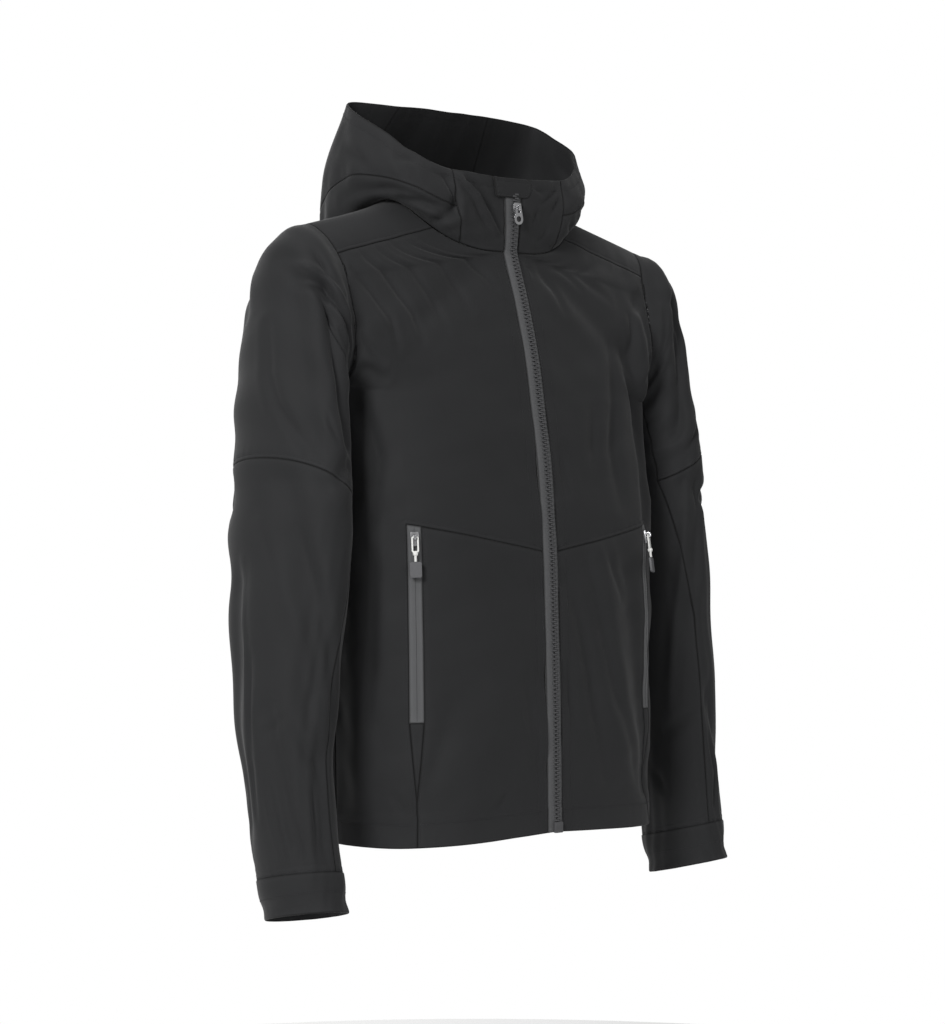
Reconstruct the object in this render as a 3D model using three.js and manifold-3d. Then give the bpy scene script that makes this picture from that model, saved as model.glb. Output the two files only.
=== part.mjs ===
// Softshell jacket with its hood down, filled out as if worn.
// Millimetres, +Z up, the front faces -Y and the wearer's left is +X.
// The origin is the middle of the neck at the height of the shoulder line.
import * as THREE from 'three';
import Module from 'manifold-3d';
import { mergeVertices } from 'three/addons/utils/BufferGeometryUtils.js';

// Driving sizes
const CLOTH = 1.6;            // thickness of the bonded cloth
const SEAM_GAP = 0.3;         // space between two pieces that meet at a seam
const LIFT = 0.3;             // space under what lies on a panel
const ZIP_HALF = 9.5;         // half the width of the main zip with its tapes
const TEETH_AT = 2.5;         // the teeth lie this far to the wearer's left of the centre
const TEETH_HALF = 3.8;       // half the width of the row of teeth
const POCKET_AT = 157;        // distance of a pocket zip from the centre front
const POCKET_HALF = 6;        // half the width of a pocket zip
const HALF_GIRTH = 255;       // centre front to side seam, around the body
const SLEEVE_GIRTH = 400;     // around a sleeve above the elbow
const RING_LENGTH = 75;       // mean distance between two rings of a sleeve
const HEM_TURN = 26;          // height of the turned-up hem
const TURN_RAISE = 0.8;       // how far a turned-up edge stands proud

// Armhole of the wearer's left, from the shoulder tip round the front; 12 equal turns.
const armholeRows = [
  { x: 221, y: 8, z: -27 },
  { x: 214, y: -16, z: -42 },
  { x: 205, y: -31, z: -70 },
  { x: 203, y: -41, z: -103 },
  { x: 202, y: -48, z: -139 },
  { x: 199, y: -38, z: -173 },
  { x: 195, y: 2, z: -192 },
  { x: 196, y: 44, z: -175 },
  { x: 199, y: 66, z: -141 },
  { x: 203, y: 70, z: -105 },
  { x: 207, y: 58, z: -71 },
  { x: 214, y: 35, z: -42 },
];

// Neck seam of the wearer's left, from the centre front to the centre back; 8 equal turns.
const neckRows = [
  { x: 0, y: -48, z: -46 },
  { x: 40, y: -45, z: -45 },
  { x: 72, y: -37, z: -36 },
  { x: 95, y: -26, z: -20 },
  { x: 110, y: -8, z: -2 },
  { x: 109, y: 20, z: 7 },
  { x: 84, y: 48, z: 8 },
  { x: 46, y: 62, z: 6 },
  { x: 0, y: 68, z: 5 },
];

// Rows of the body from the front hem up over the shoulder and down to the back hem.
// A row starts on the centre line (y, z) or on the neck seam (neck = its turn), and ends on
// the side seam (reach, side) or on the armhole (hole = its turn). Square rounds its corner.
const bodyRows = [
  { name: 'front hem', y: -116, z: -640, reach: 188, side: -648, square: 3.1 },
  { name: 'front above hem', y: -116, z: -590, reach: 189, side: -596, square: 3.1 },
  { name: 'front low', y: -115, z: -520, reach: 190, side: -524, square: 3.1 },
  { name: 'front hip', y: -112, z: -430, reach: 191, side: -420, square: 3.1 },
  { name: 'front waist seam', y: -109, z: -357, reach: 192, side: -322, square: 3.0 },
  { name: 'front ribs', y: -101, z: -270, reach: 192, side: -258, square: 2.9 },
  { name: 'front armpit', y: -90, z: -205, hole: 0.5, square: 2.5 },
  { name: 'front low armhole', y: -82, z: -160, hole: 0.41, square: 1.9 },
  { name: 'front mid armhole', y: -67, z: -104, hole: 0.29, square: 1.55 },
  { name: 'front neck', neck: 0, hole: 0.2, square: 1.35 },
  { name: 'front yoke seam', neck: 0.34, hole: 0.135, square: 1.15 },
  { name: 'shoulder line', neck: 0.53, hole: 0, square: 1.1 },
  { name: 'back yoke seam', neck: 0.7, hole: -0.1, square: 1.2 },
  { name: 'back neck', neck: 1, hole: -0.18, square: 1.4 },
  { name: 'back shoulder', y: 101, z: -60, hole: -0.27, square: 1.8 },
  { name: 'back blade', y: 114, z: -125, hole: -0.39, square: 2.2 },
  { name: 'back armpit', y: 117, z: -200, hole: -0.5, square: 2.6 },
  { name: 'back ribs', y: 113, z: -275, reach: 192, side: -258, square: 2.9 },
  { name: 'back waist', y: 108, z: -350, reach: 192, side: -322, square: 3.0 },
  { name: 'back hip', y: 112, z: -440, reach: 191, side: -420, square: 3.1 },
  { name: 'back low', y: 117, z: -535, reach: 190, side: -524, square: 3.1 },
  { name: 'back above hem', y: 118, z: -596, reach: 189, side: -596, square: 3.1 },
  { name: 'back hem', y: 117, z: -645, reach: 188, side: -648, square: 3.1 },
];
const SIDE_SEAM = 2;          // y of the side seams
const WEDGE_POINT = 0.9;      // row where the wedge below the pocket zip runs out
const WEDGE_START = 1.1;      // row where that wedge is wide enough to be sewn
const POCKET_FOOT = 2;        // row where the pocket zip ends
const WAIST = 4;
const ARMPIT = 6;
const NECK = 9;
const YOKE = 10;
const BACK_YOKE = 12;
const BACK_NECK = 13;
const BACK_ARMPIT = 16;
const LAST = bodyRows.length - 1;
const FACE_ROW = 11;          // front and back part here
const TOP_ROW = 11.2;         // row at the top of the shoulder, where folds die away
const TOP_FADE = 1.6;         // rows on each side of it over which they do
const SEAM_FADE = 0.03;       // share of a half girth over which folds die away at the side

// Columns of the hood's left half, from the centre front to the centre back; 8 equal steps.
// Each has the place on the neck seam, the fold, the bulge and the rim of the opening.
const hoodRows = [
  { neck: 0, fold: [0, -50, -24], bulge: [0, -51, 4], rim: [0, -50, 30] },
  { neck: 0.13, fold: [44, -49, -24], bulge: [50, -51, 4], rim: [56, -47, 33] },
  { neck: 0.27, fold: [82, -44, -18], bulge: [88, -45, 10], rim: [86, -38, 38] },
  { neck: 0.4, fold: [110, -31, -2], bulge: [118, -32, 24], rim: [112, -23, 52] },
  { neck: 0.53, fold: [128, -4, 7], bulge: [137, -4, 36], rim: [129, -4, 71] },
  { neck: 0.65, fold: [139, 40, 0], bulge: [144, 40, 46], rim: [136, 40, 96] },
  { neck: 0.77, fold: [124, 96, -30], bulge: [134, 96, 34], rim: [122, 68, 111] },
  { neck: 0.89, fold: [76, 134, -78], bulge: [82, 140, 4], rim: [56, 62, 113] },
  { neck: 1, fold: [0, 143, -94], bulge: [0, 155, -6], rim: [0, 60, 113] },
];
const COLLAR_END = 0.21;      // turn of the neck where the collar front meets the hood's side
const CENTRE_PANEL = 0.88;    // turn of the neck where the hood's side meets its centre panel
const BAND_TOP = 0.56;        // height of the seam along the hood's side

// Rings of the left sleeve, from the armhole to the cuff: the outer and the inner point,
// how far it reaches to the front and the back, and how far its front is tipped up (degrees).
// The left sleeve hangs a little more bent, so its rings lie higher than the right's by the lift.
const sleeveRows = [
  { name: 'armhole' },
  { name: 'cap', ox: 244, oz: -36, ix: 196, iz: -199, front: -56, back: 76, tip: 0, lift: 0 },
  { name: 'shoulder', ox: 258, oz: -66, ix: 197, iz: -212, front: -58, back: 85, tip: 0, lift: 0 },
  { name: 'upper arm', ox: 266, oz: -122, ix: 198, iz: -232, front: -64, back: 91, tip: 0, lift: 2 },
  { name: 'biceps', ox: 273, oz: -190, ix: 198, iz: -262, front: -71, back: 96, tip: 0, lift: 9 },
  { name: 'elbow', ox: 282, oz: -262, ix: 198, iz: -312, front: -76, back: 95, tip: 2, lift: 22 },
  { name: 'below elbow', ox: 289, oz: -345, ix: 200, iz: -376, front: -79, back: 92, tip: 6, lift: 21 },
  { name: 'forearm', ox: 297, oz: -450, ix: 210, iz: -462, front: -76, back: 71, tip: 8, lift: 18 },
  { name: 'wrist', ox: 303, oz: -560, ix: 225, iz: -566, front: -74, back: 39, tip: 10, lift: 14 },
  { name: 'cuff seam', ox: 297, oz: -668, ix: 225, iz: -674, front: -86, back: 16, tip: 12, lift: 8 },
  { name: 'cuff end', ox: 295, oz: -706, ix: 226, iz: -712, front: -93, back: 4, tip: 12, lift: 6 },
];
const ELBOW = 5;
const CUFF = 9;
const SLEEVE_END = 10;
const CAP_FADE = 1.5;         // rings below the armhole over which folds die away
const CUFF_FADE = 0.3;        // rings above the cuff over which they do

// Front and back edge of the under-sleeve panel, as turns round the sleeve.
const underSleeveRows = [
  { ring: 0, front: 0.41, back: 0.61 },
  { ring: 5, front: 0.38, back: 0.62 },
  { ring: 7, front: 0.29, back: 0.63 },
  { ring: 9, front: 0.28, back: 0.64 },
];

// Main folds of the body: across is measured round it from the centre front or back towards
// the wearer's left, height is z, and depth is outward.
const bodyFolds = [
  { face: 'front', across0: 34, height0: -60, across1: 150, height1: -150, width: 17, depth: -3.5 },
  { face: 'front', across0: -34, height0: -58, across1: -120, height1: -120, width: 15, depth: -4 },
  { face: 'front', across0: 190, height0: -110, across1: 176, height1: -300, width: 18, depth: 7 },
  { face: 'front', across0: 150, height0: -150, across1: 142, height1: -320, width: 15, depth: -5 },
  { face: 'front', across0: 185, height0: -330, across1: 196, height1: -600, width: 26, depth: 8 },
  { face: 'front', across0: 96, height0: -380, across1: 130, height1: -600, width: 18, depth: -6 },
  { face: 'front', across0: 58, height0: -360, across1: 84, height1: -560, width: 17, depth: 5 },
  { face: 'front', across0: -60, height0: -500, across1: -96, height1: -630, width: 22, depth: 4 },
  { face: 'front', across0: -200, height0: -210, across1: -165, height1: -260, width: 16, depth: -4 },
  { face: 'front', across0: -215, height0: -340, across1: -205, height1: -600, width: 22, depth: 4 },
  { face: 'back', across0: 190, height0: -170, across1: 150, height1: -330, width: 22, depth: -7 },
  { face: 'back', across0: -185, height0: -180, across1: -140, height1: -350, width: 24, depth: -7 },
  { face: 'back', across0: 110, height0: -360, across1: 128, height1: -620, width: 24, depth: 6 },
  { face: 'back', across0: -60, height0: -340, across1: -84, height1: -600, width: 26, depth: -5 },
  { face: 'back', across0: 30, height0: -300, across1: 22, height1: -560, width: 26, depth: -4 },
  { face: 'back', across0: -150, height0: -400, across1: -160, height1: -620, width: 22, depth: 5 },
];

// Main folds of the sleeves: ring and turn of both ends, for the wearer's right and left.
const sleeveFolds = [
  { side: -1, ring0: 1.2, turn0: 0.14, ring1: 4.2, turn1: 0.3, width: 15, depth: -8 },
  { side: -1, ring0: 2.0, turn0: 0.06, ring1: 5.2, turn1: 0.16, width: 16, depth: -5 },
  { side: -1, ring0: 4.6, turn0: 0.3, ring1: 5.2, turn1: 0.2, width: 12, depth: -4 },
  { side: -1, ring0: 5.3, turn0: 0.08, ring1: 7.4, turn1: 0.2, width: 17, depth: -8 },
  { side: -1, ring0: 6.4, turn0: 0.94, ring1: 8.4, turn1: 0.9, width: 15, depth: -5 },
  { side: -1, ring0: 7.6, turn0: 0.06, ring1: 9, turn1: 0.14, width: 13, depth: -6 },
  { side: -1, ring0: 8, turn0: 0.25, ring1: 9, turn1: 0.22, width: 12, depth: -5 },
  { side: -1, ring0: 3.2, turn0: 0.72, ring1: 5.4, turn1: 0.86, width: 18, depth: -6 },
  { side: -1, ring0: 5.2, turn0: 0.7, ring1: 6.2, turn1: 0.84, width: 15, depth: -6 },
  { side: 1, ring0: 1.3, turn0: 0.18, ring1: 4, turn1: 0.3, width: 15, depth: -7 },
  { side: 1, ring0: 4.6, turn0: 0.12, ring1: 7.4, turn1: 0.05, width: 15, depth: -6 },
  { side: 1, ring0: 5.2, turn0: 0.3, ring1: 6, turn1: 0.14, width: 14, depth: -5 },
  { side: 1, ring0: 7.8, turn0: 0.24, ring1: 8.8, turn1: 0.08, width: 14, depth: -6 },
  { side: 1, ring0: 7.2, turn0: 0.84, ring1: 8.9, turn1: 0.9, width: 15, depth: -5 },
  { side: 1, ring0: 3.4, turn0: 0.74, ring1: 5.2, turn1: 0.86, width: 18, depth: -6 },
  { side: 1, ring0: 5.4, turn0: 0.72, ring1: 6.3, turn1: 0.82, width: 15, depth: -6 },
];

const finishes = {
  cloth: new THREE.MeshStandardMaterial({ color: 0x2c2d2e, roughness: 0.9, metalness: 0 }),
  tape: new THREE.MeshStandardMaterial({ color: 0x5a5c5e, roughness: 0.85, metalness: 0 }),
  teeth: new THREE.MeshStandardMaterial({ color: 0x1c1c1d, roughness: 0.45, metalness: 0 }),
  metal: new THREE.MeshStandardMaterial({ color: 0xb9bbbd, roughness: 0.25, metalness: 1 }),
  darkMetal: new THREE.MeshStandardMaterial({ color: 0x4a4b4d, roughness: 0.35, metalness: 1 }),
  cord: new THREE.MeshStandardMaterial({ color: 0xdcdcd8, roughness: 0.8, metalness: 0 }),
  tab: new THREE.MeshStandardMaterial({ color: 0x3b3c3e, roughness: 0.6, metalness: 0 }),
};

const jacket = new THREE.Group();

// Smooth curves and surfaces

function vector(row) {
  return Array.isArray(row) ? new THREE.Vector3(...row) : new THREE.Vector3(row.x, row.y, row.z);
}

function blend(before, from, to, after, t) {
  const point = new THREE.Vector3();
  const weights = [
    -0.5 * t + t * t - 0.5 * t * t * t,
    1 - 2.5 * t * t + 1.5 * t * t * t,
    0.5 * t + 2 * t * t - 1.5 * t * t * t,
    -0.5 * t * t + 0.5 * t * t * t,
  ];
  [before, from, to, after].forEach((p, k) => point.addScaledVector(p, weights[k]));
  return point;
}

// A smooth curve through pointAt(0) to pointAt(last), at place u between 0 and last.
function through(pointAt, last, u) {
  const k = Math.min(Math.max(Math.floor(u), 0), last - 1);
  const from = pointAt(k);
  const to = pointAt(k + 1);
  const before = k > 0 ? pointAt(k - 1) : from.clone().multiplyScalar(2).sub(to);
  const after = k + 2 <= last ? pointAt(k + 2) : to.clone().multiplyScalar(2).sub(from);
  return blend(before, from, to, after, u - k);
}

function armhole(turn) {
  const count = armholeRows.length;
  const u = (turn - Math.floor(turn)) * count;
  const k = Math.floor(u);
  const at = (n) => vector(armholeRows[(n + count) % count]);
  return blend(at(k - 1), at(k), at(k + 1), at(k + 2), u - k);
}

function neck(turn) {
  const last = neckRows.length - 1;
  const at = (n) => {
    const mirrored = n < 0 || n > last;
    const row = vector(neckRows[n < 0 ? -n : n > last ? 2 * last - n : n]);
    return mirrored ? row.multiply(new THREE.Vector3(-1, 1, 1)) : row;
  };
  const u = turn * last;
  const k = Math.min(Math.floor(u), last - 1);
  return blend(at(k - 1), at(k), at(k + 1), at(k + 2), u - k);
}

// Share of the way across and share of the way round a squared quarter ellipse, v from 0 to 1.
function quarter(v, square) {
  const angle = (v * Math.PI) / 2;
  const s = Math.abs(Math.sin(angle));
  const c = Math.abs(Math.cos(angle));
  const r = Math.pow(Math.pow(s, square) + Math.pow(c, square), -1 / square);
  return { across: r * s * Math.sign(v), round: r * c };
}

// A curve of one column of the body's rows, through rows first to last, at place u.
function alongRows(valueAt, first, last, u) {
  return through((k) => valueAt(bodyRows[k + first]), last - first, u - first);
}

function neckTurnAt(u) {
  return alongRows((row) => new THREE.Vector3(row.neck, 0, 0), NECK, BACK_NECK, u).x;
}

function holeTurnAt(u) {
  return alongRows((row) => new THREE.Vector3(row.hole, 0, 0), ARMPIT, BACK_ARMPIT, u).x;
}

function bodyStart(u) {
  const onCentre = (row) => {
    return row.neck === undefined ? new THREE.Vector3(0, row.y, row.z) : neck(row.neck);
  };
  if (u < NECK) {
    return alongRows(onCentre, 0, NECK, u);
  }
  if (u < BACK_NECK) {
    return neck(neckTurnAt(u));
  }
  return alongRows(onCentre, BACK_NECK, LAST, u);
}

function bodyEnd(u) {
  const onSide = (row) => {
    return row.hole === undefined ? new THREE.Vector3(row.reach, SIDE_SEAM, row.side) : armhole(row.hole);
  };
  if (u < ARMPIT) {
    return alongRows(onSide, 0, ARMPIT, u);
  }
  if (u < BACK_ARMPIT) {
    return armhole(holeTurnAt(u));
  }
  return alongRows(onSide, BACK_ARMPIT, LAST, u);
}

function bodyPoint(u, v) {
  const start = bodyStart(u);
  const end = bodyEnd(u);
  const square = alongRows((row) => new THREE.Vector3(row.square, 0, 0), 0, LAST, u).x;
  const { across, round } = quarter(v, square);
  return new THREE.Vector3(
    start.x + (end.x - start.x) * across,
    end.y + (start.y - end.y) * round,
    start.z + (end.z - start.z) * Math.abs(across),
  );
}

// How far a point beside a straight fold is moved outward; the fold fades at its ends.
function foldShare(a, b, fold, a0, b0, a1, b1) {
  const da = a1 - a0;
  const db = b1 - b0;
  const length = Math.hypot(da, db);
  const along = ((a - a0) * da + (b - b0) * db) / (length * length);
  const aside = ((a - a0) * db - (b - b0) * da) / length;
  const beyond = Math.max(0, -along, along - 1) * length;
  const distance = (aside * aside + beyond * beyond) / (fold.width * fold.width);
  return fold.depth * Math.exp(-distance);
}

const stepU = 0.02;
const stepV = 0.004;

// A surface with a smooth form and its folds: at(u, v) is a point and out(u, v) the way outward.
function makeSurface(form, uLast, vFirst, vLast, flip, relief) {
  const normal = (place, u, v) => {
    const u0 = Math.max(u - stepU, 0);
    const u1 = Math.min(u + stepU, uLast);
    const v0 = Math.max(v - stepV, vFirst(u));
    const v1 = Math.min(v + stepV, vLast);
    const alongU = place(u1, v).sub(place(u0, v));
    const alongV = place(u, v1).sub(place(u, v0));
    return alongV.cross(alongU).multiplyScalar(flip).normalize();
  };
  const at = (u, v) => {
    const point = form(u, v);
    return point.addScaledVector(normal(form, u, v), relief(u, v, point));
  };
  const out = (u, v) => normal(at, u, v);
  return { at, out };
}

const mirror = new THREE.Vector3(-1, 1, 1);

function makeBody(side) {
  const form = (u, v) => {
    const point = bodyPoint(u, v);
    return side < 0 ? point.multiply(mirror) : point;
  };
  const relief = (u, v, point) => {
    const face = u < FACE_ROW ? 'front' : 'back';
    const across = side * v * HALF_GIRTH;
    const top = 1 - Math.max(0, 1 - Math.abs(u - TOP_ROW) / TOP_FADE);
    const seam = THREE.MathUtils.clamp((1 - v) / SEAM_FADE, 0, 1);
    let sum = 0;
    for (const fold of bodyFolds) {
      if (fold.face === face) {
        const { across0, height0, across1, height1 } = fold;
        sum += foldShare(across, point.z, fold, across0, height0, across1, height1);
      }
    }
    const low = u < WAIST || u > BACK_NECK;
    const hem = low && point.z < bodyRows[0].z + HEM_TURN ? TURN_RAISE : 0;
    return sum * top * seam + hem;
  };
  const vFirst = (u) => (u > NECK && u < BACK_NECK ? 0 : -1);
  return makeSurface(form, LAST, vFirst, 1, side, relief);
}

function hoodTurnAt(h) {
  const last = hoodRows.length - 1;
  return through((k) => new THREE.Vector3(hoodRows[k].neck, 0, 0), last, h * last).x;
}

function makeHood(side) {
  const last = hoodRows.length - 1;
  const acrossHood = (name, u) => {
    const at = (k) => {
      const mirrored = k < 0 || k > last;
      const point = vector(hoodRows[k < 0 ? -k : k > last ? 2 * last - k : k][name]);
      return mirrored ? point.multiply(mirror) : point;
    };
    const k = Math.min(Math.floor(u), last - 1);
    return blend(at(k - 1), at(k), at(k + 1), at(k + 2), u - k);
  };
  const form = (h, w) => {
    const u = h * last;
    const lines = ['fold', 'bulge', 'rim'].map((name) => acrossHood(name, u));
    const points = [neck(hoodTurnAt(h)), ...lines];
    const point = through((n) => points[n], lines.length, w * lines.length);
    return side < 0 ? point.multiply(mirror) : point;
  };
  return makeSurface(form, 1, () => 0, 1, -side, () => 0);
}

function sleeveRingPoint(k, turn) {
  if (k === 0) {
    return armhole(turn);
  }
  const row = sleeveRows[k];
  const angle = turn * 2 * Math.PI;
  const tip = THREE.MathUtils.degToRad(row.tip);
  const away = Math.cos(angle);
  const forward = Math.sin(angle) * (row.back - row.front) / 2;
  return new THREE.Vector3(
    (row.ox + row.ix) / 2 + away * (row.ox - row.ix) / 2,
    (row.front + row.back) / 2 - forward * Math.cos(tip),
    (row.oz + row.iz) / 2 + away * (row.oz - row.iz) / 2 + forward * Math.sin(tip),
  );
}

function makeSleeve(side) {
  const form = (u, turn) => {
    const point = through((k) => sleeveRingPoint(k, turn), SLEEVE_END, u);
    if (side < 0) {
      return point.multiply(mirror);
    }
    const lift = through((k) => new THREE.Vector3(0, 0, sleeveRows[k].lift ?? 0), SLEEVE_END, u);
    return point.add(lift);
  };
  const relief = (u, turn) => {
    let sum = 0;
    for (const fold of sleeveFolds) {
      if (fold.side === side) {
        const middle = (fold.turn0 + fold.turn1) / 2;
        const near = turn - Math.round(turn - middle);
        const a0 = fold.turn0 * SLEEVE_GIRTH;
        const a1 = fold.turn1 * SLEEVE_GIRTH;
        const b0 = fold.ring0 * RING_LENGTH;
        const b1 = fold.ring1 * RING_LENGTH;
        sum += foldShare(near * SLEEVE_GIRTH, u * RING_LENGTH, fold, a0, b0, a1, b1);
      }
    }
    const cap = Math.min(1, u / CAP_FADE);
    const wrist = THREE.MathUtils.clamp((CUFF - u) / CUFF_FADE, 0, 1);
    const cuff = u > CUFF ? TURN_RAISE : 0;
    return sum * cap * wrist + cuff;
  };
  return makeSurface(form, SLEEVE_END, () => -1, 2, side, relief);
}

// Walls of cloth

// Edge faces of two walls that meet are cut along the same diagonal, whichever wall they are on.
const diagonalWay = new THREE.Vector3(0.11, 0.37, 1);

// Closes a set of four-cornered cells of surface samples into a wall of even thickness.
function wall(cells, thickness) {
  const keys = new Map();
  const samples = [];
  const number = (sample) => {
    const key = sample.point.toArray().map((c) => Math.round(c * 200)).join();
    if (!keys.has(key)) {
      keys.set(key, samples.length);
      samples.push({ point: sample.point.clone(), out: new THREE.Vector3() });
    }
    const index = keys.get(key);
    samples[index].out.add(sample.out);
    return index;
  };
  const faces = [];
  for (const cell of cells) {
    const [a, b, c, d] = cell.map(number);
    faces.push([a, b, c], [a, c, d]);
  }
  const solidFaces = faces.filter(([a, b, c]) => a !== b && b !== c && c !== a);
  const edges = new Map();
  for (const face of solidFaces) {
    face.forEach((from, k) => edges.set(`${from},${face[(k + 1) % 3]}`, [from, face[(k + 1) % 3]]));
  }
  const count = samples.length;
  const index = [];
  for (const [a, b, c] of solidFaces) {
    index.push(a, b, c, a + count, c + count, b + count);
  }
  for (const [from, to] of edges.values()) {
    if (!edges.has(`${to},${from}`)) {
      const rise = samples[to].point.clone().sub(samples[from].point).dot(diagonalWay);
      if (rise > 0) {
        index.push(to, from, from + count, to, from + count, to + count);
      } else {
        index.push(to, from, to + count, from, from + count, to + count);
      }
    }
  }
  const outer = samples.flatMap(({ point }) => point.toArray());
  const inner = samples.flatMap(({ point, out }) => {
    return point.clone().addScaledVector(out.normalize(), -thickness).toArray();
  });
  const geometry = new THREE.BufferGeometry();
  geometry.setAttribute('position', new THREE.Float32BufferAttribute([...outer, ...inner], 3));
  geometry.setIndex(index);
  return geometry;
}

// Cells between two neighbouring lines of samples. Turn is 1 or -1, to keep the faces outward.
function cellsBetween(lines, turn) {
  const cells = [];
  for (let i = 0; i + 1 < lines.length; i += 1) {
    for (let j = 0; j + 1 < lines[i].length; j += 1) {
      const corners = [lines[i][j], lines[i][j + 1], lines[i + 1][j + 1], lines[i + 1][j]];
      if (corners.every((corner) => corner !== null)) {
        cells.push(turn > 0 ? corners : corners.reverse());
      }
    }
  }
  return cells;
}

function sampleOf(surface, u, v, lift) {
  const out = surface.out(u, v);
  return { point: surface.at(u, v).addScaledVector(out, lift), out };
}

function spread(from, to, steps) {
  return Array.from({ length: steps + 1 }, (_, k) => from + ((to - from) * k) / steps);
}

// The place reached by going a few millimetres along u or v.
function shiftU(surface, u, v, distance) {
  const ahead = Math.sign(distance) * 0.02;
  return u + (ahead * Math.abs(distance)) / surface.at(u, v).distanceTo(surface.at(u + ahead, v));
}

function shiftV(surface, u, v, distance) {
  const ahead = Math.sign(distance) * 0.01;
  return v + (ahead * Math.abs(distance)) / surface.at(u, v).distanceTo(surface.at(u, v + ahead));
}

function add(name, geometry, finish) {
  const mesh = new THREE.Mesh(geometry, finishes[finish]);
  mesh.name = name;
  jacket.add(mesh);
  return mesh;
}

const sides = [
  { side: -1, name: 'right' },
  { side: 1, name: 'left' },
];
const bodies = { '-1': makeBody(-1), 1: makeBody(1) };
const hoods = { '-1': makeHood(-1), 1: makeHood(1) };
const sleeves = { '-1': makeSleeve(-1), 1: makeSleeve(1) };

// The seam at the armhole shares its inward way with the body, except under the arm.
function armholeWay(side, turn, own) {
  const angle = turn * 2 * Math.PI;
  const shared = new THREE.Vector3(side * 0.4, -Math.sin(angle), Math.cos(angle)).normalize();
  const under = THREE.MathUtils.smoothstep(-Math.cos(angle), 0.1, 0.8);
  return shared.lerp(own, under).normalize();
}

// A grid of samples on a body side. Lines are places u with a seam inset; columns are functions.
function bodyGrid(side, rows, columns, keep) {
  const surface = bodies[side];
  return rows.map(({ u, inset }, i) => columns.map((column, j) => {
    if (!keep(i, j)) {
      return null;
    }
    const v = column(u);
    const place = inset ? shiftU(surface, u, v, inset) : u;
    const sample = sampleOf(surface, place, v, 0);
    if (v > 0.985 && u > ARMPIT && u < BACK_ARMPIT) {
      sample.out = armholeWay(side, holeTurnAt(u), sample.out);
    }
    return sample;
  }));
}

const halvings = 24;

// The place between low and high where a rising quantity reaches a target.
function placeWhere(quantity, target, low, high) {
  let from = low;
  let to = high;
  for (let k = 0; k < halvings; k += 1) {
    const middle = (from + to) / 2;
    if (quantity(middle) < target) {
      from = middle;
    } else {
      to = middle;
    }
  }
  return (from + to) / 2;
}

// The place v where a body row lies a given distance from the centre plane.
function columnAt(surface, u, distance) {
  return placeWhere((v) => Math.abs(surface.at(u, v).x), distance, 0, 1);
}

function pocketHalf(u) {
  const share = (u - WEDGE_POINT) / (POCKET_FOOT - WEDGE_POINT);
  return POCKET_HALF * THREE.MathUtils.clamp(share, 0, 1);
}

const halfGap = SEAM_GAP / 2;

// Places on the neck seam that the body and the hood share.
const zipTurn = placeWhere((turn) => neck(turn).x, ZIP_HALF + halfGap, 0, 0.2);
const collarTurns = [zipTurn, 0.07, 0.14, COLLAR_END];
const frontNeckTurns = [...collarTurns, 0.275];
const yokeTurns = [0.34, 0.405, 0.47, 0.53, 0.59, 0.645, 0.7];
const backNeckTurns = [0.7, 0.76, 0.82, CENTRE_PANEL, 0.94, 1];
const hoodSideTurns = [COLLAR_END, 0.275, ...yokeTurns, 0.76, 0.82, CENTRE_PANEL];
const bodyAtNeck = (turn) => placeWhere(neckTurnAt, turn, NECK, BACK_NECK);
const hoodAtNeck = (turn) => placeWhere(hoodTurnAt, turn, 0, 1);

function between(first, second, share) {
  return (u) => first(u) + (second(u) - first(u)) * share;
}

const skirtRows = [
  { u: 0 }, { u: 0.45 }, { u: WEDGE_POINT }, { u: WEDGE_START }, { u: 1.5 }, { u: POCKET_FOOT },
  { u: 2.5 }, { u: 3 }, { u: 3.5 }, { u: 3.75 },
];
const chestSteps = [
  { u: WAIST, inset: halfGap }, { u: 4.5 }, { u: 5 }, { u: 5.5 }, { u: 6 }, { u: 6.5 }, { u: 7 },
  { u: 7.5 }, { u: 8 }, { u: 8.5 }, ...frontNeckTurns.map((turn) => ({ u: bodyAtNeck(turn) })),
  { u: YOKE, inset: -halfGap },
];

// The columns that the pieces of one half of the body share, from an inner edge to the side.
const pocketColumn = 7;
const sideColumn = 12;

function bodyColumns(side, innerEdge) {
  const surface = bodies[side];
  const sideEdge = (u) => shiftV(surface, u, 1, -halfGap);
  const outer = (u) => columnAt(surface, u, POCKET_AT + pocketHalf(u) + halfGap);
  const inward = spread(0, 1, pocketColumn).slice(0, pocketColumn);
  const outward = spread(0, 1, sideColumn - pocketColumn);
  return [
    ...inward.map((share) => between(innerEdge, outer, share)),
    ...outward.map((share) => between(outer, sideEdge, share)),
  ];
}

function fronts({ side, name }) {
  const surface = bodies[side];
  const besideZip = (u) => columnAt(surface, u, ZIP_HALF + halfGap);
  const zipEdge = (u) => (u > NECK ? shiftV(surface, u, 0, halfGap) : besideZip(u));
  const inner = (u) => columnAt(surface, u, POCKET_AT - pocketHalf(u) - halfGap);
  const chestColumns = bodyColumns(side, zipEdge);
  const rows = [...skirtRows, ...chestSteps];
  const keep = (i, j) => i >= skirtRows.length || j >= pocketColumn;
  const chestGrid = bodyGrid(side, rows, chestColumns, keep);
  add(`chest_panel_${name}`, wall(cellsBetween(chestGrid, side), CLOTH), 'cloth');

  const lowRows = [...skirtRows, { u: WAIST, inset: -halfGap }];
  const lowColumns = spread(0, 1, pocketColumn).map((share) => between(zipEdge, inner, share));
  const lowGrid = bodyGrid(side, lowRows, lowColumns, () => true);
  add(`lower_front_${name}`, wall(cellsBetween(lowGrid, side), CLOTH), 'cloth');
}

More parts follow.
